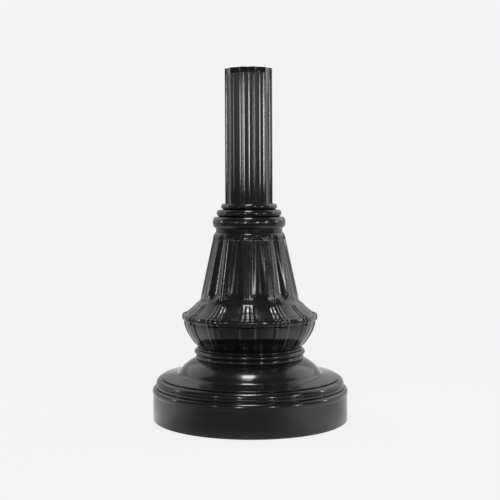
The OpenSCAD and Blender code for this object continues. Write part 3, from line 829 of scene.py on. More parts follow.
class Rules:
    """The geometry node trees of the pole."""

    def __init__(self) -> None:
        """Build every tree."""
        self.flutes = self.fluting()
        self.ring = self.ring_of_pieces()
        self.marks = self.pieces_on_marks()
        self.ripples = self.weld_ripples()

    @staticmethod
    def own_place(tree: Tree) -> tuple[bpy.types.NodeSocket, ...]:
        """The x, y and z of each point, and its distance from the pole's axis."""
        x, y, z = tree.split(tree.add("GeometryNodeInputPosition").outputs[0])
        return x, y, z, tree.calc("SQRT", tree.calc("MULTIPLY_ADD", x, x, tree.product(y, y)))

    @staticmethod
    def set_copies(rule: Rule, points: bpy.types.NodeSocket, turn: bpy.types.NodeSocket) -> Rule:
        """Set a copy of a rule's piece on each point, and end the rule.

        Args:
            rule: The rule, with an input Piece.
            points: Socket of the points.
            turn: Socket of each copy's turn.

        Returns:
            The same rule.
        """
        source = rule.tree.add("GeometryNodeObjectInfo", {"Object": rule.given["Piece"]})
        copies = rule.tree.add("GeometryNodeInstanceOnPoints", {
            "Points": points, "Instance": source.outputs["Geometry"], "Rotation": turn})
        rule.close(copies.outputs[0])
        return rule

    @classmethod
    def fluting(cls) -> Rule:
        """Press hollow flutes into the outside of a round tube.

        Returns:
            The rule.
        """
        rule = Rule("fluted tube", [
            ("Ridge Radius", FLOAT), ("Flute Curve", FLOAT), ("Flute Centre", FLOAT),
            ("Flutes", FLOAT), ("First Angle", FLOAT), ("Rounding", FLOAT), ("Wall Inside", FLOAT)])
        tree, given = rule.tree, rule.given
        x, y, z, r = cls.own_place(tree)
        angle = tree.calc("SUBTRACT", tree.calc("ARCTAN2", y, x), given["First Angle"])
        half = tree.calc("DIVIDE", math.pi, given["Flutes"])
        angle = tree.calc("WRAP", angle, half, tree.product(half, -1.0))
        across = tree.product(given["Flute Centre"], tree.calc("SINE", angle))
        along = tree.product(given["Flute Centre"], tree.calc("COSINE", angle))
        left = tree.calc("SUBTRACT", tree.product(given["Flute Curve"], given["Flute Curve"]),
                         tree.product(across, across))
        hollow = tree.calc("SUBTRACT", along, tree.calc("SQRT", tree.calc("MAXIMUM", left, 0.0)))
        outside = tree.calc("SMOOTH_MIN", given["Ridge Radius"], hollow, given["Rounding"])
        push = tree.product(tree.calc("SUBTRACT", outside, given["Ridge Radius"]),
                            tree.calc("GREATER_THAN", r, given["Wall Inside"]))
        scale = tree.calc("DIVIDE", tree.calc("ADD", r, push), r)
        place = tree.add("ShaderNodeCombineXYZ", {
            0: tree.product(x, scale), 1: tree.product(y, scale), 2: z})
        moved = tree.add("GeometryNodeSetPosition", {
            "Geometry": given["Geometry"], "Position": place.outputs[0]})
        rule.close(moved.outputs[0])
        return rule

    @classmethod
    def ring_of_pieces(cls) -> Rule:
        """Set copies of a piece evenly on a circle, each turned to face away from the axis.

        Returns:
            The rule.
        """
        rule = Rule("ring of pieces", [
            ("Piece", "NodeSocketObject"), ("Count", "NodeSocketInt"),
            ("Radius", FLOAT), ("Level", FLOAT), ("First Angle", FLOAT)])
        tree, given = rule.tree, rule.given
        index = tree.add("GeometryNodeInputIndex").outputs[0]
        turn = tree.calc("MULTIPLY_ADD", tree.calc("DIVIDE", index, given["Count"]), math.tau,
                         given["First Angle"])
        place = tree.add("ShaderNodeCombineXYZ", {
            0: tree.product(given["Radius"], tree.calc("COSINE", turn)),
            1: tree.product(given["Radius"], tree.calc("SINE", turn)), 2: given["Level"]})
        points = tree.add("GeometryNodePoints", {
            "Count": given["Count"], "Position": place.outputs[0]})
        spin = tree.add("ShaderNodeCombineXYZ", {2: turn})
        return cls.set_copies(rule, points.outputs[0], spin.outputs[0])

    @classmethod
    def pieces_on_marks(cls) -> Rule:
        """Set a copy of a piece on each point, turned as the point's "turn" attribute says.

        Returns:
            The rule.
        """
        rule = Rule("pieces on marks", [("Piece", "NodeSocketObject")])
        turn = rule.tree.add("GeometryNodeInputNamedAttribute", {"Name": "turn"},
                             data_type="FLOAT_VECTOR")
        return cls.set_copies(rule, rule.given["Geometry"], turn.outputs[0])

    @classmethod
    def weld_ripples(cls) -> Rule:
        """Raise crescent ripples along a weld bead that runs round the axis.

        Returns:
            The rule.
        """
        rule = Rule("weld ripples", [("Ripples", FLOAT), ("Height", FLOAT), ("Lag", FLOAT),
                                     ("Middle", FLOAT)])
        tree, given = rule.tree, rule.given
        x, y, _, r = cls.own_place(tree)
        side = tree.calc("ABSOLUTE", tree.calc("SUBTRACT", r, given["Middle"]))
        turn = tree.product(tree.calc("ARCTAN2", y, x),
                            tree.calc("DIVIDE", given["Ripples"], math.tau))
        phase = tree.calc("FRACT", tree.calc("MULTIPLY_ADD", side, given["Lag"], turn))
        swell = tree.product(tree.calc("SINE", tree.product(phase, math.pi)), given["Height"])
        facing = tree.add("GeometryNodeInputNormal").outputs[0]
        push = tree.add("ShaderNodeVectorMath", {0: facing, "Scale": swell}, operation="SCALE")
        moved = tree.add("GeometryNodeSetPosition", {
            "Geometry": given["Geometry"], "Offset": push.outputs[0]})
        rule.close(moved.outputs[0])
        return rule


# Fasteners


@dataclass
class Fastener:
    """A bolt, screw, nut or washer about its own axis, with its seat at level 0."""

    d: float
    steps: int = 72

    @property
    def pitch(self) -> float:
        """Distance from one groove of the thread to the next."""
        return 0.155 * self.d

    def revolve(self, name: str, rows: Sequence[Row], loop: bool) -> bpy.types.Mesh:
        """Turn rows into a closed mesh.

        Args:
            name: The mesh's name.
            rows: Radius and level of each row, as numbers or as arrays over the angle.
            loop: Whether the last row joins the first. Otherwise both ends are closed.

        Returns:
            The mesh.
        """
        angle = np.linspace(0.0, 2 * np.pi, self.steps, endpoint=False)
        grid = []
        for r, z in rows:
            radius = np.broadcast_to(np.asarray(r, float), angle.shape)
            level = np.broadcast_to(np.asarray(z, float), angle.shape)
            grid.append(np.stack([radius * np.cos(angle), radius * np.sin(angle), level], axis=1))
        faces = grid_faces(len(grid), self.steps, loop, True)
        if not loop:
            last = (len(grid) - 1) * self.steps
            faces += [tuple(range(self.steps)), tuple(range(last, last + self.steps))]
        return make_mesh(name, np.concatenate(grid), faces, sharp=30.0)

    def hexagon(self, r: float) -> np.ndarray:
        """Distance of a hexagon's edge from its centre at each angle.

        Args:
            r: Distance of the hexagon's corners in mm.

        Returns:
            The distances in mm.
        """
        angle = np.linspace(0.0, 2 * np.pi, self.steps, endpoint=False)
        apothem = r * math.cos(math.pi / 6)
        return apothem / np.cos((angle + math.pi / 6) % (math.pi / 3) - math.pi / 6)

    def hexagon_rows(self, r: float, z0: float, z1: float) -> list[Row]:
        """Rows of a hexagonal head from z0 to z1 with its corners turned off at z1.

        Args:
            r: Distance of the hexagon's corners in mm.
            z0: Level of the seat in mm.
            z1: Level of the face in mm.

        Returns:
            The rows.
        """
        apothem = r * math.cos(math.pi / 6)
        edge = self.hexagon(r)
        way = 1.0 if z1 > z0 else -1.0
        drop = np.maximum(0.0, edge - apothem * 0.97) * 0.5 + 0.05
        return [(edge - 0.25, z0), (edge, z0 + 0.2 * way), (edge, z1 - way * drop),
                (np.full_like(edge, apothem * 0.93), z1 - way * 0.02), (apothem * 0.85, z1)]

    def shank_rows(self, length: float, threaded: float) -> list[Row]:
        """Rows of a shank up to its end, with ring grooves where it is threaded.

        Args:
            length: The shank's length in mm.
            threaded: The thread's length in mm.

        Returns:
            The rows.
        """
        r, pitch = self.d / 2, self.pitch
        z = length - threaded
        rows: list[Row] = [(r, 0.0), (r, z)]
        while z < length - 1.2 * pitch:
            rows += [(r - 0.09 * self.d, z + pitch * 0.5), (r, z + pitch * 0.9), (r, z + pitch)]
            z += pitch
        return rows + [(r, length - 0.08 * self.d), (r * 0.84, length)]


@dataclass
class Bolt(Fastener):
    """A bolt with a hexagonal head below its seat and a shank above it."""

    head_r: float = 7.0
    head_t: float = 5.0
    length: float = 20.0
    threaded: float = 12.0

    def mesh(self, name: str) -> bpy.types.Mesh:
        """Build the bolt."""
        head = self.hexagon_rows(self.head_r, 0.0, -self.head_t)[::-1]
        return self.revolve(name, head + self.shank_rows(self.length, self.threaded), False)


@dataclass
class Washer(Fastener):
    """A flat washer with a soft outer edge."""

    r: float = 8.0
    t: float = 1.6
    bore: float = 4.2

    def mesh(self, name: str) -> bpy.types.Mesh:
        """Build the washer.

        Args:
            name: The mesh's name.

        Returns:
            The mesh.
        """
        soft = 0.3 * self.t
        rows = [(self.bore, 0.0), (self.r - soft, 0.0), (self.r, soft), (self.r, self.t - soft),
                (self.r - soft, self.t), (self.bore + 0.2, self.t), (self.bore, self.t - 0.2)]
        return self.revolve(name, rows, True)


@dataclass
class Nut(Fastener):
    """A hexagonal nut with both faces turned off."""

    r: float = 7.0
    t: float = 6.0

    def mesh(self, name: str) -> bpy.types.Mesh:
        """Build the nut.

        Args:
            name: The mesh's name.

        Returns:
            The mesh.
        """
        bore = self.d / 2 + 0.1
        upper = self.hexagon_rows(self.r, self.t / 2, self.t)[1:]
        lower = self.hexagon_rows(self.r, self.t / 2, 0.0)[1:][::-1]
        rows = [(bore, 0.4), (bore + 0.4, 0.0), *lower, *upper,
                (bore + 0.4, self.t), (bore, self.t - 0.4)]
        return self.revolve(name, rows, True)


@dataclass
class RoundScrew(Fastener):
    """A screw with a domed head above its seat, a hexagonal recess and a shank below it."""

    head_r: float = 5.7
    head_t: float = 3.3
    key_r: float = 2.1
    length: float = 12.0

    def mesh(self, name: str) -> bpy.types.Mesh:
        """Build the screw.

        Args:
            name: The mesh's name.

        Returns:
            The mesh.
        """
        dome = [(self.head_r * math.cos(a), self.head_t * (0.35 + 0.65 * math.sin(a)))
                for a in np.linspace(0.0, math.radians(66), 8)]
        key = self.hexagon(self.key_r)
        shank = [(r, -z) for r, z in self.shank_rows(self.length, self.length * 0.6)][::-1]
        recess = [(key + 0.25, self.head_t * 0.965), (key, self.head_t * 0.9),
                  (key, self.head_t * 0.42), (0.3, self.head_t * 0.25)]
        head = [(self.head_r - 0.2, 0.0), (self.head_r, 0.15)]
        return self.revolve(name, shank + head + dome + recess, False)


@dataclass
class SetScrew(Fastener):
    """A set screw along +X from level 0, with a hexagonal recess at its outer end."""

    length: float = 20.0
    key_r: float = 2.8

    def mesh(self, name: str) -> bpy.types.Mesh:
        """Build the screw.

        Args:
            name: The mesh's name.

        Returns:
            The mesh.
        """
        r, pitch = self.d / 2, self.pitch
        key = self.hexagon(self.key_r)
        rows: list[Row] = [(r * 0.3, 0.35), (r * 0.55, 0.0), (r * 0.9, 0.8)]
        z = 1.2
        while z < self.length - 2.2 * pitch:
            rows += [(r, z), (r, z + pitch * 0.15), (r - 0.08 * self.d, z + pitch * 0.55)]
            z += pitch
        rows += [(r, z), (r, self.length - 0.5), (r - 0.5, self.length),
                 (key + 0.2, self.length), (key, self.length - 0.25),
                 (key, self.length - 0.45 * self.d), (0.3, self.length - 0.5 * self.d)]
        mesh = self.revolve(name, rows, False)
        mesh.transform(Matrix.Rotation(math.radians(90), 4, "Y"))
        return mesh


def drill(rows: Path, z: float, steps: int, *turns: Matrix) -> bpy.types.Object:
    """Make a round tool that drills a hole or a pocket across the pole's axis.

    Args:
        rows: Distance of each row from the tool's own axis and from the pole's, in mm.
        z: Level of the tool's own axis in mm.
        steps: Number of steps round the tool.
        *turns: Turns that lay the tool in its direction, the last one first.

    Returns:
        The tool.
    """
    tool = loose_object("drill", Fastener(2 * rows[0][0], steps).revolve("drill", rows, False))
    place = Matrix.Translation((0, 0, z * MM))
    for turn in turns:
        place = place @ turn
    tool.data.transform(place)
    return tool


# Castings


@dataclass
class Levels:
    """Levels of the stack above the ground, in mm, as in the part's source."""

    plinth_h: float = 87.0
    dome_h: float = 40.0
    neck_h: float = 24.5
    bowl_h: float = 54.0
    rim_h: float = 16.0
    flare_h: float = 40.0
    cone_h: float = 115.0
    crown_h: float = 14.5
    shaft_top: float = 732.0

    @property
    def neck(self) -> float:
        """Level of the neck ring's foot."""
        return self.plinth_h + self.dome_h

    @property
    def bell(self) -> float:
        """Level of the bell's foot."""
        return self.neck + self.neck_h

    @property
    def cone(self) -> float:
        """Level of the cone's foot above the bell's foot."""
        return self.bowl_h + self.rim_h + self.flare_h

    @property
    def bell_h(self) -> float:
        """Height of the bell."""
        return self.cone + self.cone_h + self.crown_h

    @property
    def collar(self) -> float:
        """Level of the collar's foot."""
        return self.bell + self.bell_h


@dataclass(frozen=True)
class BoltCircle:
    """A ring of bolts: their number, the ring's radius in mm and the first one's angle."""

    count: int
    r: float
    first: float = 0.0


DOME_CIRCLE = BoltCircle(6, 130.0)
TIE_CIRCLE = BoltCircle(4, 95.5, 45.0)


def turned_casting(name: str, outline: Path, soft: float, foot: float = 0.0) -> bpy.types.Object:
    """Turn an outline into a round casting with soft corners.

    Args:
        name: The casting's name.
        outline: Closed outline in mm.
        soft: How wide its corners are rounded, in mm.
        foot: Level in mm from which the outline is measured.

    Returns:
        The casting.
    """
    loop = thinned(soften(outline, True, sigma=soft))
    loop[:, 1] += foot
    return loose_object(name, turned(name, loop))


@dataclass
class Plinth:
    """The drum on the ground, with its lip, plain band, quarter-round moulding and deck."""

    levels: Levels
    r: float = 203.0
    foot_edge: float = 1.2
    wall: float = 7.0
    deck_t: float = 8.0
    bead_h: float = 10.0
    bead_out: float = 8.7
    band_h: float = 9.0
    band_in: float = 6.8
    lip_h: float = 13.0
    lip_crest: float = 5.5
    lip_out: float = 1.2
    crevice: float = 2.2
    crevice_h: float = 1.4
    crevice_mouth: float = 1.9
    deck_hole_r: float = 118.6

    def outline(self) -> Path:
        """Closed outline of the drum's wall and deck, with a crevice on each side of the band.

        Returns:
            Radius and level of each corner, in mm.
        """
        h = self.levels.plinth_h
        bead_z = h - self.bead_h
        band_z = bead_z - self.band_h
        lip_z = band_z - self.lip_h
        crest_z, crest_h = lip_z + self.lip_crest, self.lip_h - self.lip_crest
        band_r, lip_r, inner_r = self.r - self.band_in, self.r + self.lip_out, self.r - self.wall
        shoulder, deep = lip_r - band_r - self.crevice, band_r - self.crevice
        turn = np.linspace(0.0, math.pi / 2, 24)
        quarter = [(math.sin(a), 1 - math.cos(a)) for a in turn]
        lower = [(self.r + self.lip_out * s, lip_z + self.lip_crest * c) for s, c in quarter]
        upper = [(lip_r - shoulder * c, crest_z + crest_h * s) for s, c in quarter]
        moulding = [(band_r - self.bead_out * c, bead_z + self.bead_h * s) for s, c in quarter]
        return [(inner_r, 0.0), (self.r - self.foot_edge, 0.0), (self.r, self.foot_edge),
                *lower, *upper, (deep, band_z), (deep, band_z + self.crevice_h),
                (band_r, band_z + self.crevice_mouth), (band_r, bead_z - self.crevice_mouth),
                (deep, bead_z - self.crevice_h), (deep, bead_z), *moulding,
                (self.deck_hole_r, h), (self.deck_hole_r, h - self.deck_t),
                (band_r - self.wall, h - self.deck_t), (inner_r, lip_z)]

    def build(self, finishes: Finishes) -> None:
        """Build and dress the drum."""
        piece = turned_casting("plinth_casting", self.outline(), 0.55)
        hand_over(piece, Body.BASE, Slot.PAINT, finishes.paint, "plinth")


@dataclass
class Dome:
    """The thin bead, sloping shoulder and ogee, hollow below, with bosses for its bolts."""

    levels: Levels
    foot_r: float = 182.0
    foot_bead_h: float = 3.5
    foot_bead_out: float = 3.5
    cove: Point = (149.5, 8.5)
    fillet_foot: Point = (154.5, 7.7)
    fillet_join: int = 7
    top_r: float = 113.0
    wall: float = 7.0
    flange_t: float = 8.0
    bore_r: float = 84.0
    boss_r: float = 8.5
    boss_h: float = 18.0

    def outline(self) -> Path:
        """Closed outline of the dome above its seat.

        Returns:
            Radius and level of each corner, in mm.
        """
        h = self.levels.dome_h
        bead = nose(self.foot_r, 0.0, self.foot_bead_h, self.foot_bead_out)
        ogee = curve(self.cove, (-6.5, 16.5), (9.0, -2.5), (self.top_r, h))
        ceiling = h - self.flange_t
        inner = [(r - self.wall, max(z - self.wall, 0.0)) for r, z in ogee
                 if z - self.wall < ceiling]
        fillet = curve(self.fillet_foot, (-3.4, 0.5), (2.2, -3.6), ogee[self.fillet_join], 16)
        return [(self.cove[0] - self.wall, 0.0), *bead, *fillet, *ogee[self.fillet_join + 1:],
                (self.bore_r, h), (self.bore_r, ceiling), (inner[-1][0], ceiling), *inner[::-1]]

    def boss(self) -> bpy.types.Mesh:
        """One boss, which flares where it meets the dome's inside.

        Returns:
            Its mesh.
        """
        r, h = self.boss_r, self.boss_h
        rows = [(r - 0.6, 0.0), (r, 0.6), (r, h - 1.5), (r + 1.5, h), (r + 1.5, h + 0.5)]
        return Fastener(2 * r, steps=40).revolve("boss_blank", rows, False)

    def build(self, finishes: Finishes, rules: Rules) -> None:
        """Build and dress the dome and the bosses inside it.

        Args:
            finishes: The finishes.
            rules: The geometry rules.
        """
        foot = self.levels.plinth_h
        piece = turned_casting("dome_casting", self.outline(), 0.5, foot)
        hand_over(piece, Body.BASE, Slot.PAINT, finishes.paint, "dome")
        tool = loose_object("boss_blank", self.boss())
        bosses = loose_object("dome_bosses", bpy.data.meshes.new("dome_bosses"))
        rules.ring.use(bosses, Piece=tool, Count=DOME_CIRCLE.count, Radius=DOME_CIRCLE.r * MM,
                       Level=foot * MM, First_Angle=math.radians(DOME_CIRCLE.first),
                       Material=finishes.paint)
        bpy.data.objects.remove(tool)
        hand_over(bosses, Body.BASE, Slot.PAINT, finishes.paint, "dome")


@dataclass
class NeckRing:
    """Two round beads and a small fillet."""

    levels: Levels
    r: float = 110.0
    lower_h: float = 9.5
    lower_out: float = 3.0
    middle_h: float = 11.0
    middle_out: float = 6.2
    bore_r: float = 84.0
    seat_r: float = 105.0
    seat_t: float = 5.0

    def outline(self) -> Path:
        """Closed outline of the ring above its seat.

        Returns:
            Radius and level of each corner, in mm.
        """
        h, top = self.levels.neck_h, self.lower_h + self.middle_h
        return [(self.bore_r, 0.0), *nose(self.r, 0.0, self.lower_h, self.lower_out),
                *nose(self.r, self.lower_h, top, self.middle_out),
                *nose(self.r - 2.0, top, h, 2.5), (self.seat_r, h), (self.seat_r, h - self.seat_t),
                (self.bore_r, h - self.seat_t)]

    def build(self, finishes: Finishes) -> None:
        """Build and dress the ring."""
        piece = turned_casting("neck_ring_casting", self.outline(), 0.35, self.levels.neck)
        hand_over(piece, Body.BASE, Slot.PAINT, finishes.paint, "neck_ring")


@dataclass
class Collar:
    """A plain band and three rings, hollow inside."""

    levels: Levels
    band_r: float = 69.8
    band_h: float = 9.0
    heights: tuple[float, float, float] = (23.0, 14.0, 12.0)
    radii: tuple[float, float, float] = (76.6, 68.2, 59.0)
    ring_out: float = 6.0
    ring_gap: float = 0.8
    hollow_r: float = 58.0
    bore_r: float = 51.2
    seal_seat_r: float = 53.9
    seal_h: float = 6.0
    screw_d: float = 8.0

    def outline(self) -> Path:
        """Closed outline of the collar.

        Returns:
            Radius and level of each corner, in mm.
        """
        z = self.levels.collar
        level = z + self.band_h
        middle = level + self.heights[0] + self.ring_gap
        path: Path = [(self.hollow_r, z), (self.band_r, z), (self.band_r, level)]
        for r, h in zip(self.radii, self.heights):
            path += nose(r - self.ring_out, level, level + h, self.ring_out)
            level = level + h + self.ring_gap
        top = level - self.ring_gap
        return path + [(self.bore_r, top), (self.bore_r, middle + self.seal_h),
                       (self.seal_seat_r, middle + self.seal_h), (self.seal_seat_r, middle),
                       (self.hollow_r, middle)]

    def build(self, finishes: Finishes) -> None:
        """Build and dress the collar, with the holes of its set screws.

        Args:
            finishes: The finishes.
        """
        piece = turned_casting("collar_casting", self.outline(), 0.35)
        r = self.screw_d / 2 + 0.1
        wide = r + 0.9
        rows = [(r, 40.0), (r, self.band_r - 0.7), (wide, self.band_r + 0.3),
                (wide, self.band_r + 8.0)]
        level, lay = self.levels.collar + self.band_h / 2, Matrix.Rotation(math.pi / 2, 4, "Y")
        cut(piece, [drill(rows, level, 48, Matrix.Rotation(turn, 4, "Z"), lay)
                    for turn in (0.0, math.pi)])
        hand_over(piece, Body.BASE, Slot.PAINT, finishes.paint, "collar")


@dataclass
class Bell:
    """The ribbed bowl and flare and the fluted cone, with the window and the door at its back."""

    levels: Levels
    bore_r: float = 84.0
    bowl_foot_r: float = 107.5
    bowl_top_r: float = 135.3
    rim_out: float = 4.0
    rim_step: float = 4.6
    cone_foot_r: float = 101.0
    cone_top_r: float = 76.3
    band_r: float = 69.8
    wall: float = 9.5
    flange_t: float = 8.0
    hollow_top_r: float = 58.0
    count: int = 12
    flute_depth: float = 4.2
    cone_rib_w: float = 19.5
    flute_tail: float = 8.0
    flute_head: float = 11.0
    rib_end: float = 96.0
    door_angle: float = 75.0
    door_sill: float = 5.0
    door_h: float = 102.0
    door_gap: float = 0.8
    edge_drop: float = 0.35
    gasket_t: float = 2.0
    screw_inset: float = 7.0
    line: np.ndarray = field(default_factory=lambda: np.zeros((0, 2)))
    along: np.ndarray = field(default_factory=lambda: np.zeros(0))

    # Cross-sections of the ribs: share of the half width, and height in mm.
    CONE_RIB: ClassVar[Path] = [(0.0, 0.0), (0.22, -0.12), (0.42, -0.75), (0.52, -0.9),
                                (0.66, -0.5), (0.8, -0.45), (1.0, -1.0), (2.0, -1.0)]
    FLARE_RIB: ClassVar[Path] = [(0.0, 2.8), (0.27, 2.72), (0.38, 1.5), (0.47, 0.5), (0.55, 0.7),
                                 (0.72, 1.75), (0.84, 1.35), (1.0, 0.1), (1.1, 0.0), (2.0, 0.0)]
    BOWL_RIB: ClassVar[Path] = [(0.0, 2.8), (0.14, 2.7), (0.24, 2.35), (0.5, 2.2), (0.66, 2.2),
                                (0.78, 2.7), (0.9, 2.1), (1.02, 0.1), (1.1, 0.0), (2.0, 0.0)]

    def __post_init__(self) -> None:
        """Prepare the smooth outline without ribs and its length from the foot."""
        lv = self.levels
        foot = lv.bowl_h + lv.rim_h
        top = lv.cone + lv.cone_h
        path = [*curve((self.bowl_foot_r, 0.0), (8.0, 10.0), (-1.5, -22.0),
                       (self.bowl_top_r, lv.bowl_h)),
                *nose(self.bowl_top_r, lv.bowl_h + 0.5, foot, self.rim_out),
                *curve((self.bowl_top_r - self.rim_step, foot + 0.5), (-0.5, 4.0), (3.0, -25.0),
                       (self.cone_foot_r, lv.cone)),
                *curve((self.cone_top_r, top), (-0.6, 7.0), (3.2, -0.4),
                       (self.band_r, lv.bell_h), 30)]
        self.line = soften(path, False, step=0.1, sigma=0.5)
        self.line[0], self.line[-1] = path[0], path[-1]
        self.along = np.r_[0.0, np.cumsum(np.hypot(*np.diff(self.line, axis=0).T))]

    def reach(self, z: float) -> float:
        """Length along the outline at a level of the bowl, the flare or the cone."""
        order = np.argmin(np.abs(self.line[:, 1] - z))
        return float(self.along[order])

    def at(self, s: np.ndarray) -> tuple[np.ndarray, np.ndarray, np.ndarray, np.ndarray]:
        """Radius, level and the direction in which relief stands out, at lengths s.

        Args:
            s: Lengths along the outline in mm.

        Returns:
            Radius and level in mm, and both parts of the direction.
        """
        d = 0.4
        (r, z), ahead, behind = ([np.interp(s + step, self.along, self.line[:, k]) for k in (0, 1)]
                                 for step in (0.0, d, -d))
        dr, dz = (a - b for a, b in zip(ahead, behind))
        size = np.hypot(dr, dz) + 1e-9
        level = eased(held((z - (self.levels.cone - 10.0)) / 10.0))
        nr, nz = dz / size * (1 - level) + level, -dr / size * (1 - level)
        size = np.hypot(nr, nz) + 1e-9
        return r, z, nr / size, nz / size

    @staticmethod
    def soft_positive(value: np.ndarray, width: float) -> np.ndarray:
        """The larger of a value and 0, with the corner rounded over a width."""
        near = np.maximum(width - np.abs(value), 0.0) / width
        return np.maximum(value, 0.0) + near * near * width / 4

    @staticmethod
    def shape(t: np.ndarray, knots: Path) -> np.ndarray:
        """Height of a rib's cross-section at t, the share of its half width.

        Args:
            t: Share of the half width, 0 on the rib's middle.
            knots: Share and height of the points that the smooth section passes.

        Returns:
            The heights.
        """
        fine = np.linspace(-2.0, 2.0, 1601)
        share, height = zip(*knots)
        level = np.interp(np.abs(fine), share, height)
        reach, step, width = 60, 0.0025, 0.05
        bell = np.exp(-0.5 * (np.arange(-reach, reach + 1) * step / width) ** 2)
        level = np.convolve(np.pad(level, reach, mode="edge"), bell / bell.sum(), "valid")
        return np.interp(t, fine, level)

    def relief(self, s: np.ndarray, angle: np.ndarray) -> np.ndarray:
        """How far the surface stands out of the outline.

        Args:
            s: Length along the outline of each row.
            angle: Angle of each column, in degrees.

        Returns:
            The heights in mm, a row for each length and a column for each angle.
        """
        r, z, _, _ = self.at(s)
        r, z = r[:, None], z[:, None]
        period = 360.0 / self.count
        off = (angle - BACK + period / 2) % period - period / 2
        x = np.abs(np.radians(off))[None, :] * r
        cone = self.cone_part(r, z, np.radians(np.abs(off))[None, :], x)
        return cone + self.rib_part(s[:, None], z, x)

    def cone_part(self, r: np.ndarray, z: np.ndarray, off: np.ndarray, x: np.ndarray) -> np.ndarray:
        """Flutes of the cone and the reeded ribs between them.

        Args:
            r: Radius of each row of the outline.
            z: Level of each row.
            off: Angle of each column from the nearest rib's middle.
            x: Distance of each point from that middle.

        Returns:
            The heights in mm.
        """
        lv = self.levels
        cone_top = lv.cone + lv.cone_h
        wide = math.pi * self.cone_foot_r / self.count - self.cone_rib_w / 2
        narrow = math.pi * self.cone_top_r / self.count - self.cone_rib_w / 2
        low, high = lv.cone - self.flute_tail + wide, cone_top + self.flute_head - narrow
        share = held((z - low) / (high - low))
        half = wide + (narrow - wide) * share
        across = (math.pi / self.count - off) * r
        past = np.maximum(low - z, 0.0) + np.maximum(z - high, 0.0)
        q = np.hypot(across, past) / half
        inward = np.where(z > cone_top - 4.0, np.maximum(self.wall_r(z) - r, 0.0), 0.0)
        flute = -self.soft_positive(self.flute_depth * (1.0 - q * q) - inward, 0.9)
        t = x / (self.cone_rib_w / 2)
        reeds = self.shape(t, self.CONE_RIB)
        inside = held((high + 6.0 - z) / 8.0) * held((z - (lv.cone - 12.0)) / 6.0)
        end = np.exp(-0.5 * ((z - (self.rib_end + 3.0)) / 2.2) ** 2) * held(1.6 - t)
        return flute + reeds * eased(inside) - 0.7 * end

    def rib_part(self, s: np.ndarray, z: np.ndarray, x: np.ndarray) -> np.ndarray:
        """Ribs over the bowl, the rim and the flare.

        Args:
            s: Length along the outline of each row.
            z: Level of each row.
            x: Distance of each point from the nearest rib's middle.

        Returns:
            The heights in mm.
        """
        rim_z = self.levels.bowl_h
        rim_top = rim_z + self.levels.rim_h
        rim_low = self.reach(rim_z)
        half = np.interp(z, [0.0, rim_z, rim_z + 6.0, rim_top, rim_top + 8.0, self.rib_end],
                         [15.0, 16.2, 18.5, 16.0, 13.4, 11.5])
        upper = self.shape(x / half, self.FLARE_RIB)
        lower = self.shape(x / half, self.BOWL_RIB)
        tongue = np.hypot(x, np.maximum(rim_low + 6.5 - s, 0.0) * 1.1)
        bead_end = held((tongue - 5.5) / 2.0) * (s < rim_low + 8.0) * (x < 8.0)
        down = eased(held((rim_low + 0.8 - s) / 1.6))
        height = (upper - 1.6 * bead_end) * (1 - down) + lower * down
        past = np.maximum(z - (self.rib_end - half * 0.8), 0.0)
        top = eased(held(1.15 - past / (half * 0.8)))
        return height * top * held(z / 12.0 + 0.25) * (z < self.rib_end + 6.0)

    def surface(self, s: np.ndarray, angle: np.ndarray,
                drop: Optional[np.ndarray] = None) -> np.ndarray:
        """Points of the outside.

        Args:
            s: Length along the outline of each row.
            angle: Angle of each column, in degrees.
            drop: How far each point lies below the surface, where an edge is rounded.

        Returns:
            An array of rows, columns and x, y, z in mm.
        """
        r, z, nr, nz = (v[:, None] for v in self.at(s))
        height = self.relief(s, angle) * np.maximum(nr, 0.55)
        if drop is not None:
            height = height - drop
        radius, level = r + nr * height, z + nz * height
        turn = np.radians(angle)[None, :]
        level = np.broadcast_to(level, radius.shape) + self.levels.bell
        return np.stack([radius * np.cos(turn), radius * np.sin(turn), level], axis=2)

    def rows(self) -> np.ndarray:
        """Lengths along the outline at which the mesh has a row.

        Returns:
            The lengths in mm.
        """
        lv = self.levels
        cone_top = lv.cone + lv.cone_h
        stops = [(0.0, 1.9), (self.reach(lv.bowl_h - 5.0), 1.0), (self.reach(lv.bowl_h), 0.8),
                 (self.reach(lv.bowl_h) + 25.0, 1.5), (self.reach(90.0), 1.15),
                 (self.reach(lv.cone + 4.0), 3.2), (self.reach(cone_top - 12.0), 1.1),
                 (self.reach(cone_top), 0.7)]
        spots: list[float] = []
        for k, (start, gap) in enumerate(stops):
            end = stops[k + 1][0] if k + 1 < len(stops) else float(self.along[-1])
            n = max(1, round((end - start) / gap))
            spots += list(np.linspace(start, end, n, endpoint=False))
        return np.array(spots + [float(self.along[-1])])

    def columns(self) -> np.ndarray:
        """Angles at which the mesh has a column, closer together on the ribs.

        Returns:
            The angles in degrees.
        """
        period, rib = 360.0 / self.count, 10.2
        one = np.r_[np.linspace(-rib, rib, 34, endpoint=False),
                    np.linspace(rib, period - rib, 8, endpoint=False)]
        return np.sort(np.concatenate([(BACK + k * period + one) % 360.0
                                       for k in range(self.count)]))

    @staticmethod
    def with_edges(values: np.ndarray, edges: Sequence[float], gap: float) -> np.ndarray:
        """Add exact places to a list of places, and drop those that lie too near to them."""
        keep = [v for v in values if min(abs(v - e) for e in edges) > gap]
        return np.array(sorted([*keep, *edges]))

    def door_reach(self, gap: float) -> tuple[float, float, float, float]:
        """Edges of the door or of its window: two angles and two lengths along the outline.

        Args:
            gap: How far the edges are moved out, in mm.

        Returns:
            The angles in degrees and the lengths in mm.
        """
        low = self.levels.cone + self.door_sill - gap
        high = self.levels.cone + self.door_sill + self.door_h + gap
        half = self.door_angle / 2 + math.degrees(gap / self.cone_top_r)
        return BACK - half, BACK + half, self.precise(low), self.precise(high)

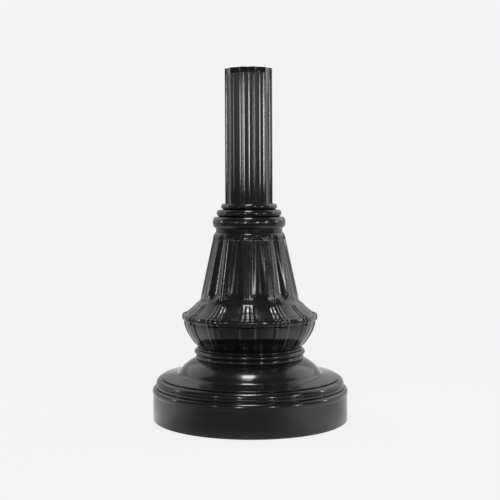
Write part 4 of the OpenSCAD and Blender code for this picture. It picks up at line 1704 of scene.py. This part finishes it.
    def precise(self, z: float) -> float:
        """Length along the outline at a level of the cone."""
        mask = self.line[:, 1] > self.levels.cone - 5.0
        return float(np.interp(z, self.line[mask, 1], self.along[mask]))

    def hollow(self, s0: float, s1: float) -> tuple[Path, int]:
        """Outline of the bell's inside, from the crown down to the bore.

        Args:
            s0: Length along the outline at the window's lower edge.
            s1: Length along the outline at its upper edge.

        Returns:
            The outline in mm above the bell's foot, and the index of its point at the window's
            upper edge. The next point is at the lower edge.
        """
        lv = self.levels
        under = lv.bell_h - self.flange_t
        edges = [float(np.interp(s, self.along, self.line[:, 1])) for s in (s1, s0)]
        crown = [*np.linspace(under - 1.0, lv.cone + lv.cone_h, 3)]
        heights = [*crown, *edges, *np.linspace(lv.cone, lv.bowl_h + lv.rim_h + 2.0, 8),
                   *np.linspace(lv.bowl_h, 12.0, 6)]
        wall = [(float(np.interp(self.reach(z), self.along, self.line[:, 0])) - self.wall, z)
                for z in heights]
        start = [(self.hollow_top_r, lv.bell_h), (self.hollow_top_r, under)]
        end = [(wall[-1][0] - 3.0, self.flange_t), (self.bore_r, self.flange_t), (self.bore_r, 0.0)]
        return [*start, *wall, *end], len(start) + len(crown)

    def casting(self) -> bpy.types.Mesh:
        """The bell with its window.

        Returns:
            Its mesh.
        """
        a0, a1, s0, s1 = self.door_reach(self.door_gap)
        columns = self.with_edges(self.columns(), [a0 - 0.35, a0, a1, a1 + 0.35], 0.2)
        rows = self.with_edges(self.rows(), [s0 - 0.5, s0, s1, s1 + 0.5], 0.35)
        beside = (columns >= a0 - 1e-6) & (columns <= a1 + 1e-6)
        between = (rows >= s0 - 1e-6) & (rows <= s1 + 1e-6)
        outer = self.surface(rows, columns, self.edge_drop * (beside[None, :] & between[:, None]))
        path, upper = self.hollow(s0, s1)
        inner = np.array([[(r * math.cos(a), r * math.sin(a), z + self.levels.bell)
                           for a in np.radians(columns)] for r, z in path])
        grid = np.concatenate([outer, inner])
        n_rows, n = grid.shape[:2]
        index = np.arange(n_rows * n).reshape(n_rows, n)
        left, right = (int(np.argmin(np.abs(columns - a))) for a in (a0, a1))
        low, high = (int(np.argmin(np.abs(rows - s))) for s in (s0, s1))
        upper += len(rows)
        lower = upper + 1
        faces = []
        for i in range(n_rows):
            through = low <= i < high or i == upper
            here, above = index[i], index[(i + 1) % n_rows]
            for j in range(n):
                m = (j + 1) % n
                if not (through and left <= j < right):
                    faces.append((here[j], here[m], above[m], above[j]))
        for j in range(left, right):
            for a, b in ((low, lower), (high, upper)):
                faces.append((index[a, j], index[a, j + 1], index[b, j + 1], index[b, j]))
        for j in (left, right):
            faces.append((*index[low:high + 1, j], *index[upper:lower + 1, j]))
        return make_mesh("bell_casting", grid.reshape(-1, 3), faces, sharp=50.0)

    def door(self) -> bpy.types.Mesh:
        """The piece of the bell's wall that comes off.

        Returns:
            Its mesh.
        """
        a0, a1, s0, s1 = self.door_reach(0.0)
        columns = self.with_edges(self.columns(), [a0, a0 + 0.4, a1 - 0.4, a1], 0.2)
        columns = columns[(columns >= a0) & (columns <= a1)]
        rows = self.with_edges(self.rows(), [s0, s0 + 0.6, s1 - 0.6, s1], 0.35)
        rows = rows[(rows >= s0) & (rows <= s1)]
        near = np.zeros((len(rows), len(columns)))
        near[0, :] = near[-1, :] = near[:, 0] = near[:, -1] = self.edge_drop
        outer = self.surface(rows, columns, near)
        r, z, _, _ = self.at(rows)
        turn = np.radians(columns)
        back = (r - self.wall + self.gasket_t)[:, None]
        level = np.broadcast_to((z + self.levels.bell)[:, None], near.shape)
        inner = np.stack([back * np.cos(turn), back * np.sin(turn), level], axis=2)
        n_rows, n = near.shape
        index = np.arange(near.size).reshape(n_rows, n)
        faces = [face for first in (0, near.size)
                 for face in grid_faces(n_rows, n, False, False, first=first)]
        for rim in (index[0, :], index[-1, :], index[:, 0], index[:, -1]):
            for a, b in zip(rim[:-1], rim[1:]):
                faces.append((a, b, b + near.size, a + near.size))
        points = np.concatenate([outer, inner]).reshape(-1, 3)
        return make_mesh("access_door_casting", points, faces, sharp=50.0)

    def wall_r(self, z: float) -> float:
        """Radius of the cone over its ribs at a level above the bell's foot."""
        slope = self.cone_foot_r - self.cone_top_r
        return self.cone_foot_r - slope * (z - self.levels.cone) / self.levels.cone_h

    def screw_levels(self) -> tuple[float, float]:
        """Levels of the two door screws above the bell's foot."""
        low = self.levels.cone + self.door_sill
        return low + self.screw_inset, low + self.door_h - self.screw_inset

    def build(self, finishes: Finishes) -> None:
        """Build and dress the bell and its door.

        Args:
            finishes: The finishes.
        """
        bell = loose_object("bell_casting", self.casting())
        hand_over(bell, Body.BASE, Slot.PAINT, finishes.paint, "bell")
        door = loose_object("access_door_casting", self.door())
        tools = []
        for z in self.screw_levels():
            r = self.wall_r(z)
            rows = [(3.3, r - 14.0), (3.3, r - 4.1), (6.2, r - 4.1), (6.2, r - 0.5),
                    (7.0, r + 0.4), (7.0, r + 9.0)]
            tools.append(drill(rows, self.levels.bell + z, 64,
                               Matrix.Rotation(-math.pi / 2, 4, "X")))
        cut(door, tools)
        hand_over(door, Body.DOOR, Slot.PAINT, finishes.paint, "access_door")


# Shaft and inner pieces


@dataclass
class Shaft:
    """The fluted tube with its handhole and its socket."""

    levels: Levels
    r: float = 50.8
    foot: float = 10.0
    bore_r: float = 43.2
    socket_r: float = 44.0
    socket_l: float = 80.0
    flutes: int = 12
    flute_depth: float = 3.6
    ridge_w: float = 3.0
    rounding: float = 0.9
    hole: tuple[float, float] = (46.0, 84.0)
    hole_z: float = 317.5

    def outline(self) -> Path:
        """Closed outline of the tube before it is fluted.

        Returns:
            Radius and level of each corner, in mm.
        """
        top = self.levels.shaft_top
        outside = [(self.r, z) for z in np.linspace(self.foot + 0.8, top - 0.5, 60)]
        inside = [(self.bore_r, z) for z in np.linspace(top - self.socket_l - 1.0, self.foot, 24)]
        return [(self.r - 0.8, self.foot), *outside, (self.r - 0.5, top),
                (self.socket_r + 0.8, top), (self.socket_r, top - 0.8),
                (self.socket_r, top - self.socket_l), *inside]

    def slot(self) -> bpy.types.Object:
        """Tool that cuts the handhole, a slot with round ends, through the wall at the back.

        Returns:
            The tool.
        """
        w, h = self.hole
        ends = [(w / 2 * math.cos(a), (h - w) / 2 + w / 2 * math.sin(a))
                for a in np.linspace(0, math.pi, 33)]
        ring = ends + [(-x, -z) for x, z in ends]
        n = len(ring)
        points = [(x, y, z + self.hole_z) for y in (20.0, 75.0) for x, z in ring]
        faces = [tuple(range(n)), tuple(range(n, 2 * n))]
        faces += [(i, (i + 1) % n, (i + 1) % n + n, i + n) for i in range(n)]
        return loose_object("slot", make_mesh("slot", np.array(points), faces))

    def build(self, finishes: Finishes, rules: Rules) -> None:
        """Build and dress the shaft.

        Args:
            finishes: The finishes.
            rules: The geometry rules.
        """
        ridge = math.asin(self.ridge_w / 2 / self.r)
        edge = math.pi / self.flutes - ridge
        floor = self.r - self.flute_depth
        sag = self.r * math.cos(edge) - floor
        hollow = ((self.r * math.sin(edge)) ** 2 + sag ** 2) / (2 * sag)
        piece = loose_object("shaft_tube", turned("shaft_tube", np.array(self.outline()), 480))
        rules.flutes.use(piece, Ridge_Radius=self.r * MM, Flute_Curve=hollow * MM,
                         Flute_Centre=(floor + hollow) * MM, Flutes=float(self.flutes),
                         First_Angle=math.radians(BACK), Rounding=self.rounding * MM,
                         Wall_Inside=(self.bore_r + 2.5) * MM, Material=finishes.shaft_paint)
        cut(piece, [self.slot()], sharp=50.0)
        hand_over(piece, Body.BASE, Slot.PAINT, finishes.shaft_paint, "shaft")


@dataclass
class Hardware:
    """Bolts, washers, nuts, screws and the weld."""

    levels: Levels
    bell: Bell
    finishes: Finishes
    rules: Rules
    d: float = 8.0
    flange_t: float = 8.0
    set_screw_tip: float = 47.2
    door_screw_d: float = 6.0
    frame_screw_d: float = 5.0
    frame_t: float = 5.0
    frame_lap: float = 14.0
    weld_leg: float = 8.0
    weld_r: float = 51.1
    weld_z: float = 60.0

    def ring(self, name: str, node: str, tool: bpy.types.Mesh, circle: BoltCircle,
             z: float) -> None:
        """Set a ring of copies of a steel piece.

        Args:
            name: The new object's name.
            node: The CAD node that it stands for.
            tool: The mesh to copy.
            circle: The ring.
            z: Level of the ring in mm.
        """
        source = loose_object(name + "_blank", tool)
        piece = loose_object(name, bpy.data.meshes.new(name))
        self.rules.ring.use(piece, Piece=source, Count=circle.count, Radius=circle.r * MM,
                            Level=z * MM, First_Angle=math.radians(circle.first),
                            Material=self.finishes.steel)
        self.keep(piece, source, Body.BASE, node)

    def marks(self, name: str, node: str, body: Body, tool: bpy.types.Mesh,
              places: Sequence[tuple[Vector, Euler]]) -> None:
        """Set a copy of a steel piece on each of several marks.

        Args:
            name: The new object's name.
            node: The CAD node that it stands for.
            body: The body that it rides on.
            tool: The mesh to copy.
            places: Place in mm and turn of each copy.
        """
        source = loose_object(name + "_blank", tool)
        mesh = bpy.data.meshes.new(name)
        mesh.from_pydata([tuple(place * MM) for place, _ in places], [], [])
        turns = mesh.attributes.new("turn", "FLOAT_VECTOR", "POINT")
        for k, (_, turn) in enumerate(places):
            turns.data[k].vector = tuple(turn)
        piece = loose_object(name, mesh)
        self.rules.marks.use(piece, Piece=source, Material=self.finishes.steel)
        self.keep(piece, source, body, node)

    def keep(self, piece: bpy.types.Object, source: bpy.types.Object, body: Body,
             node: str) -> None:
        """Remove the copied piece, keep the copies' edges sharp and hand the copies over.

        Args:
            piece: The copies.
            source: The piece that was copied.
            body: The body that they ride on.
            node: The CAD node that they stand for.
        """
        bpy.data.objects.remove(source)
        piece.data.set_sharp_from_angle(angle=math.radians(FASTENER_EDGE))
        hand_over(piece, body, Slot.STEEL, self.finishes.steel, node)

    def build_bolts(self) -> None:
        """Bolts, washers and nuts of the castings."""
        d, lv = self.d, self.levels
        washer_t = 0.2 * d
        head = {"head_r": 0.85 * d, "head_t": 0.65 * d}
        washer = Washer(d, r=1.05 * d, t=washer_t, bore=d / 2 + 0.15)
        seat = lv.plinth_h - self.flange_t - washer_t
        bolt = Bolt(d, length=washer_t + self.flange_t + 12.0, threaded=12.0, **head)
        self.ring("dome_bolt_set", "dome_bolts", bolt.mesh("bolt"), DOME_CIRCLE, seat)
        self.ring("dome_washer_set", "dome_washers", washer.mesh("washer"), DOME_CIRCLE, seat)
        low, high = lv.neck - self.flange_t - washer_t, lv.bell + self.flange_t
        grip = high - low + washer_t
        tie = Bolt(d, length=grip + 0.8 * d + 3.0, threaded=18.0, **head)
        self.ring("tie_bolt_set", "tie_bolts", tie.mesh("tie"), TIE_CIRCLE, low)
        for part, level in (("lower", low), ("upper", high)):
            self.ring(f"tie_washer_set_{part}", "tie_washers", washer.mesh("washer"),
                      TIE_CIRCLE, level)
        nut = Nut(d, r=0.85 * d, t=0.8 * d)
        self.ring("tie_nut_set", "tie_nuts", nut.mesh("nut"), TIE_CIRCLE, high + washer_t)

    @staticmethod
    def round_screw(name: str, d: float, length: float) -> bpy.types.Mesh:
        """A round-headed screw of a diameter and a length, in mm."""
        return RoundScrew(d, head_r=0.95 * d, head_t=0.55 * d, key_r=0.35 * d,
                          length=length).mesh(name)

    def build_screws(self) -> None:
        """Set screws of the collar, screws of the door and of its frame."""
        lv, bell, tip = self.levels, self.bell, self.set_screw_tip
        collar = Collar(lv)
        screw = SetScrew(collar.screw_d, length=collar.band_r - tip - 1.5)
        self.ring("set_screw_pair", "collar_set_screws", screw.mesh("set"),
                  BoltCircle(2, tip + 0.1), lv.collar + collar.band_h / 2)
        d = self.door_screw_d
        sink = 0.55 * d + 0.8
        screw = self.round_screw("door screw", d, bell.wall + self.frame_t + 1.5 - sink)
        outward = Euler((-math.pi / 2, 0.0, 0.0))
        places = [(Vector((0.0, bell.wall_r(z) - sink, lv.bell + z)), outward)
                  for z in bell.screw_levels()]
        self.marks("door_screw_pair", "door_screws", Body.DOOR, screw, places)
        self.build_frame_screws()

    def build_frame_screws(self) -> None:
        """The four screws inside the bell that hold the door's frame."""
        lv, bell, d = self.levels, self.bell, self.frame_screw_d
        lift = 0.95 * d * ((bell.cone_foot_r - bell.cone_top_r) / lv.cone_h)
        screw = self.round_screw("frame screw", d, lift + 8.0)
        frame_angle = bell.door_angle + 2 * math.degrees(self.frame_lap / bell.cone_foot_r)
        side = (bell.door_angle + frame_angle) / 4
        low = lv.cone + bell.door_sill
        places = []
        for z in (low + 20.0, low + bell.door_h - 20.0):
            r = bell.wall_r(z) - bell.wall - self.frame_t - lift
            for way in (-1, 1):
                turn = math.radians(BACK + way * side)
                places.append((Vector((r * math.cos(turn), r * math.sin(turn), lv.bell + z)),
                               Euler((0.0, -math.pi / 2, turn))))
        self.marks("frame_screw_set", "frame_screws", Body.BASE, screw, places)

    def build_weld(self) -> None:
        """The rippled bead between the hub and the shaft."""
        leg, r, z, weld = self.weld_leg, self.weld_r, self.weld_z, self.finishes.weld
        face = []
        for a in np.linspace(0.0, math.pi / 2, 15):
            full = 0.97 + 0.07 * math.sin(2 * a)
            face.append((r + leg * math.cos(a) * full, z + leg * math.sin(a) * full))
        chord = [(r + leg - (leg - 0.3) * t, z + leg * t) for t in np.linspace(0.0, 1.0, 15)]
        bulged = [(0.55 * a[0] + 0.45 * b[0], 0.55 * a[1] + 0.45 * b[1])
                  for a, b in zip(chord, face)]
        loop = np.array([*bulged, (r, z + leg), (r, z + leg / 2), (r, z)])
        piece = loose_object("shaft_weld_bead", turned("shaft_weld_bead", loop, 720))
        self.rules.ripples.use(piece, Ripples=96.0, Height=0.35 * MM, Lag=220.0,
                               Middle=(r + leg / 2) * MM, Material=weld)
        hand_over(piece, Body.BASE, Slot.ALUMINIUM, weld, "anchor_weld")


class KeptNodes:
    """CAD meshes that stay in view, with the finish of each."""

    def dress(self, finishes: Finishes) -> None:
        """Give each kept CAD node its material.

        Args:
            finishes: The finishes.
        """
        groups = (
            (finishes.cast, ("anchor_plate", "centring_plate", "door_frame", "handhole_ring",
                             "ground_boss")),
            (finishes.copper, ("ground_lug",)),
            (finishes.steel, ("ground_washer", "ground_screw")),
            (finishes.rubber, ("shaft_seal", "door_gasket", "door_screw_retainers")),
        )
        for material, names in groups:
            for name in names:
                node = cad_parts[name]
                node.data.materials.clear()
                node.data.materials.append(material)
                LOG.info("%s: CAD mesh kept, finish %s", name, material.name)


# Stage


@dataclass(frozen=True)
class Camera:
    """The camera of the photograph, in mm and degrees."""

    distance: float = 2268.9
    height: float = 487.8
    azimuth: float = 1.8
    pitch: float = -1.273
    roll: float = -0.3
    yaw: float = 1.95
    lens: float = 77.9
    shift_x: float = 0.0755
    shift_y: float = -0.08

    def build(self) -> None:
        """Add the camera to the scene."""
        data = bpy.data.cameras.new("photo_camera")
        data.lens, data.sensor_width = self.lens, 36.0
        data.shift_x, data.shift_y = self.shift_x, self.shift_y
        data.clip_start, data.clip_end = 0.05, 50.0
        camera = bpy.data.objects.new("photo_camera", data)
        turn = math.radians(self.azimuth)
        camera.location = MM * Vector((math.sin(turn) * self.distance,
                                       -math.cos(turn) * self.distance, self.height))
        aim = (Matrix.Rotation(turn + math.radians(self.yaw), 4, "Z")
               @ Matrix.Rotation(math.radians(90 + self.pitch), 4, "X")
               @ Matrix.Rotation(math.radians(self.roll), 4, "Z"))
        camera.rotation_euler = aim.to_euler()
        bpy.context.scene.collection.objects.link(camera)
        bpy.context.scene.camera = camera


class LampForm(Enum):
    """Outline of a lamp's panel."""

    PANEL = "RECTANGLE"
    OVAL = "ELLIPSE"


@dataclass(frozen=True)
class Lamp:
    """A soft lamp that hangs in a direction from the pole and faces it, in m, degrees and W."""

    name: str
    azimuth: float
    elevation: float
    distance: float
    width: float
    height: float
    power: float
    form: LampForm = LampForm.PANEL
    aim_z: float = 0.3

    def build(self) -> None:
        """Add the lamp to the scene."""
        data = bpy.data.lights.new(self.name, "AREA")
        data.shape = self.form.value
        data.size, data.size_y, data.energy = self.width, self.height, self.power
        lamp = bpy.data.objects.new(self.name, data)
        turn, lift = math.radians(self.azimuth), math.radians(self.elevation)
        way = Vector((math.sin(turn) * math.cos(lift), -math.cos(turn) * math.cos(lift),
                      math.sin(lift)))
        lamp.location = Vector((0.0, 0.0, self.aim_z)) + way * self.distance
        lamp.rotation_euler = way.to_track_quat("Z", "Y").to_euler()
        bpy.context.scene.collection.objects.link(lamp)


@dataclass(frozen=True)
class Stage:
    """The plain pale floor, the surroundings and the lamps."""

    pale: float = 0.896
    floor_r: float = 1.6
    floor_z: float = -0.0005
    floor_matt: float = 0.1

    def build(self) -> None:
        """Build floor, surroundings and lamps."""
        self.floor()
        self.surroundings()
        oval = LampForm.OVAL
        for lamp in (
            Lamp("overhead", -5, 75, 2.0, 0.46, 0.44, 11),
            Lamp("overhead_low", -5, 63, 2.1, 0.4, 0.5, 3),
            Lamp("overhead_back", 180, 86, 2.0, 0.4, 0.3, 2.8),
            Lamp("key_right", 122, 34, 2.4, 2.2, 1.8, 7),
            Lamp("fill_left", -126, 36, 2.4, 2.2, 1.8, 5),
            Lamp("strip_front", -10, 10, 2.4, 0.12, 0.48, 4.4, oval),
            Lamp("strip_right", 27, 10, 2.4, 0.13, 0.48, 4, oval),
            Lamp("strip_far_right", 56, 10, 2.4, 0.26, 0.48, 3.6, oval),
            Lamp("strip_left", -38, 10, 2.4, 0.14, 0.48, 0.9, oval),
            Lamp("edge_right", 97, 10, 2.4, 0.16, 0.44, 2.2, oval),
            Lamp("edge_left", -95, 10, 2.4, 0.12, 0.44, 1.8, oval),
            Lamp("upper_front", -5, 28, 2.4, 0.1, 0.8, 0.35),
            Lamp("upper_right", 64, 24, 2.4, 0.1, 0.4, 0.9),
        ):
            lamp.build()

    @staticmethod
    def ray_kinds(tree: Tree) -> tuple[bpy.types.NodeSocket, bpy.types.NodeSocket]:
        """Whether the camera sees a place, and whether a reflection or clear matter shows it.

        Args:
            tree: The tree that asks.

        Returns:
            Socket of each of the two answers.
        """
        path = tree.add("ShaderNodeLightPath").outputs
        others = tree.calc("MAXIMUM", path["Is Glossy Ray"], path["Is Transmission Ray"])
        return path["Is Camera Ray"], others

    def floor(self) -> None:
        """A pale floor that fades into the surroundings and keeps the pole's shadow.

        Reflections see it darker in front of the pole and behind it than the camera does.
        """
        form = bmesh.new()
        bmesh.ops.create_circle(form, cap_ends=True, segments=128, radius=self.floor_r)
        mesh = bpy.data.meshes.new("floor")
        form.to_mesh(mesh)
        form.free()
        floor = loose_object("floor", mesh)
        floor.location.z = self.floor_z
        material = bpy.data.materials.new("pale floor")
        material.use_nodes = True
        material.node_tree.nodes.clear()
        tree = Tree(material.node_tree)
        camera, others = self.ray_kinds(tree)
        place = tree.object_place()
        away = tree.add("ShaderNodeVectorMath", {0: place}, operation="LENGTH").outputs["Value"]
        x, y, _ = tree.split(place)
        ahead = tree.calc("DIVIDE", tree.calc("MULTIPLY_ADD", x, 0.2, y), away)
        dim = tree.product(tree.spread(ahead, -0.4, -0.98), tree.spread(away, 0.2, 0.3, 0.5, 0.77))
        mirrored = tree.calc("SUBTRACT", tree.spread(ahead, -0.3, 0.3, 0.95, 0.68), dim)
        seen = tree.calc("MULTIPLY_ADD", camera, 0.93, tree.product(others, mirrored))
        glow = tree.add("ShaderNodeEmission", {"Strength": seen})
        glow.inputs["Color"].default_value = (self.pale, self.pale, self.pale, 1.0)
        matt = tree.add("ShaderNodeBsdfDiffuse")
        grey = self.floor_matt
        matt.inputs["Color"].default_value = (grey, grey, grey, 1.0)
        both = tree.add("ShaderNodeAddShader", {0: glow.outputs[0], 1: matt.outputs[0]})
        fade = tree.spread(away, 0.35, 1.3)
        clear = tree.add("ShaderNodeBsdfTransparent")
        mix = tree.add("ShaderNodeMixShader", {0: fade, 1: both.outputs[0], 2: clear.outputs[0]})
        tree.add("ShaderNodeOutputMaterial", {"Surface": mix.outputs[0]})
        mesh.materials.append(material)

    def surroundings(self) -> None:
        """A pale backdrop, and a studio of graded levels that the pole's paint mirrors.

        The camera sees the backdrop all round, reflections only far behind the pole.
        """
        world = bpy.data.worlds.new("studio")
        bpy.context.scene.world = world
        world.use_nodes = True
        world.node_tree.nodes.clear()
        tree = Tree(world.node_tree)
        x, y, z = tree.split(tree.add("ShaderNodeTexCoord").outputs["Generated"])
        front = tree.calc("MINIMUM", tree.spread(z, -0.03, 0.08, 0.1, 0.6),
                          tree.spread(z, 0.1, 0.22, 0.6, 0.09))
        beside = tree.product(tree.spread(y, -0.12, 0.3), tree.spread(z, 0.55, 0.85, 1.0, 0.2),
                              tree.spread(x, -0.3, 0.3, 0.5, 0.7))
        behind = tree.product(tree.spread(y, 0.7, 0.95), tree.spread(z, 0.3, 0.6, 0.25, 0.75))
        beside = tree.product(beside, tree.calc("SUBTRACT", 1.0, behind))
        camera, others = self.ray_kinds(tree)
        far = tree.product(tree.spread(y, 0.93, 0.98), tree.spread(z, 0.03, 0.12, 1.0, 0.0))
        mix = tree.add("ShaderNodeMix", data_type="FLOAT")
        tree.feed(mix.inputs[0], tree.calc("MAXIMUM", camera, tree.product(others, far)))
        tree.feed(mix.inputs[2], tree.calc("MAXIMUM", front, beside))
        tree.feed(mix.inputs[3], self.pale)
        glow = tree.add("ShaderNodeBackground", {"Strength": mix.outputs[0]})
        glow.inputs["Color"].default_value = (1.0, 1.0, 1.0, 1.0)
        tree.add("ShaderNodeOutputWorld", {"Surface": glow.outputs[0]})
        bpy.context.scene.view_settings.view_transform = "Standard"


def main() -> None:
    """Build the pole, dress it and set the stage."""
    Camera().build()
    finishes, rules, levels = Finishes(), Rules(), Levels()
    Plinth(levels).build(finishes)
    Dome(levels).build(finishes, rules)
    NeckRing(levels).build(finishes)
    Collar(levels).build(finishes)
    bell = Bell(levels)
    bell.build(finishes)
    Shaft(levels).build(finishes, rules)
    hardware = Hardware(levels, bell, finishes, rules)
    hardware.build_bolts()
    hardware.build_screws()
    hardware.build_weld()
    KeptNodes().dress(finishes)
    Stage().build()


if __name__ == "__main__":
    main()
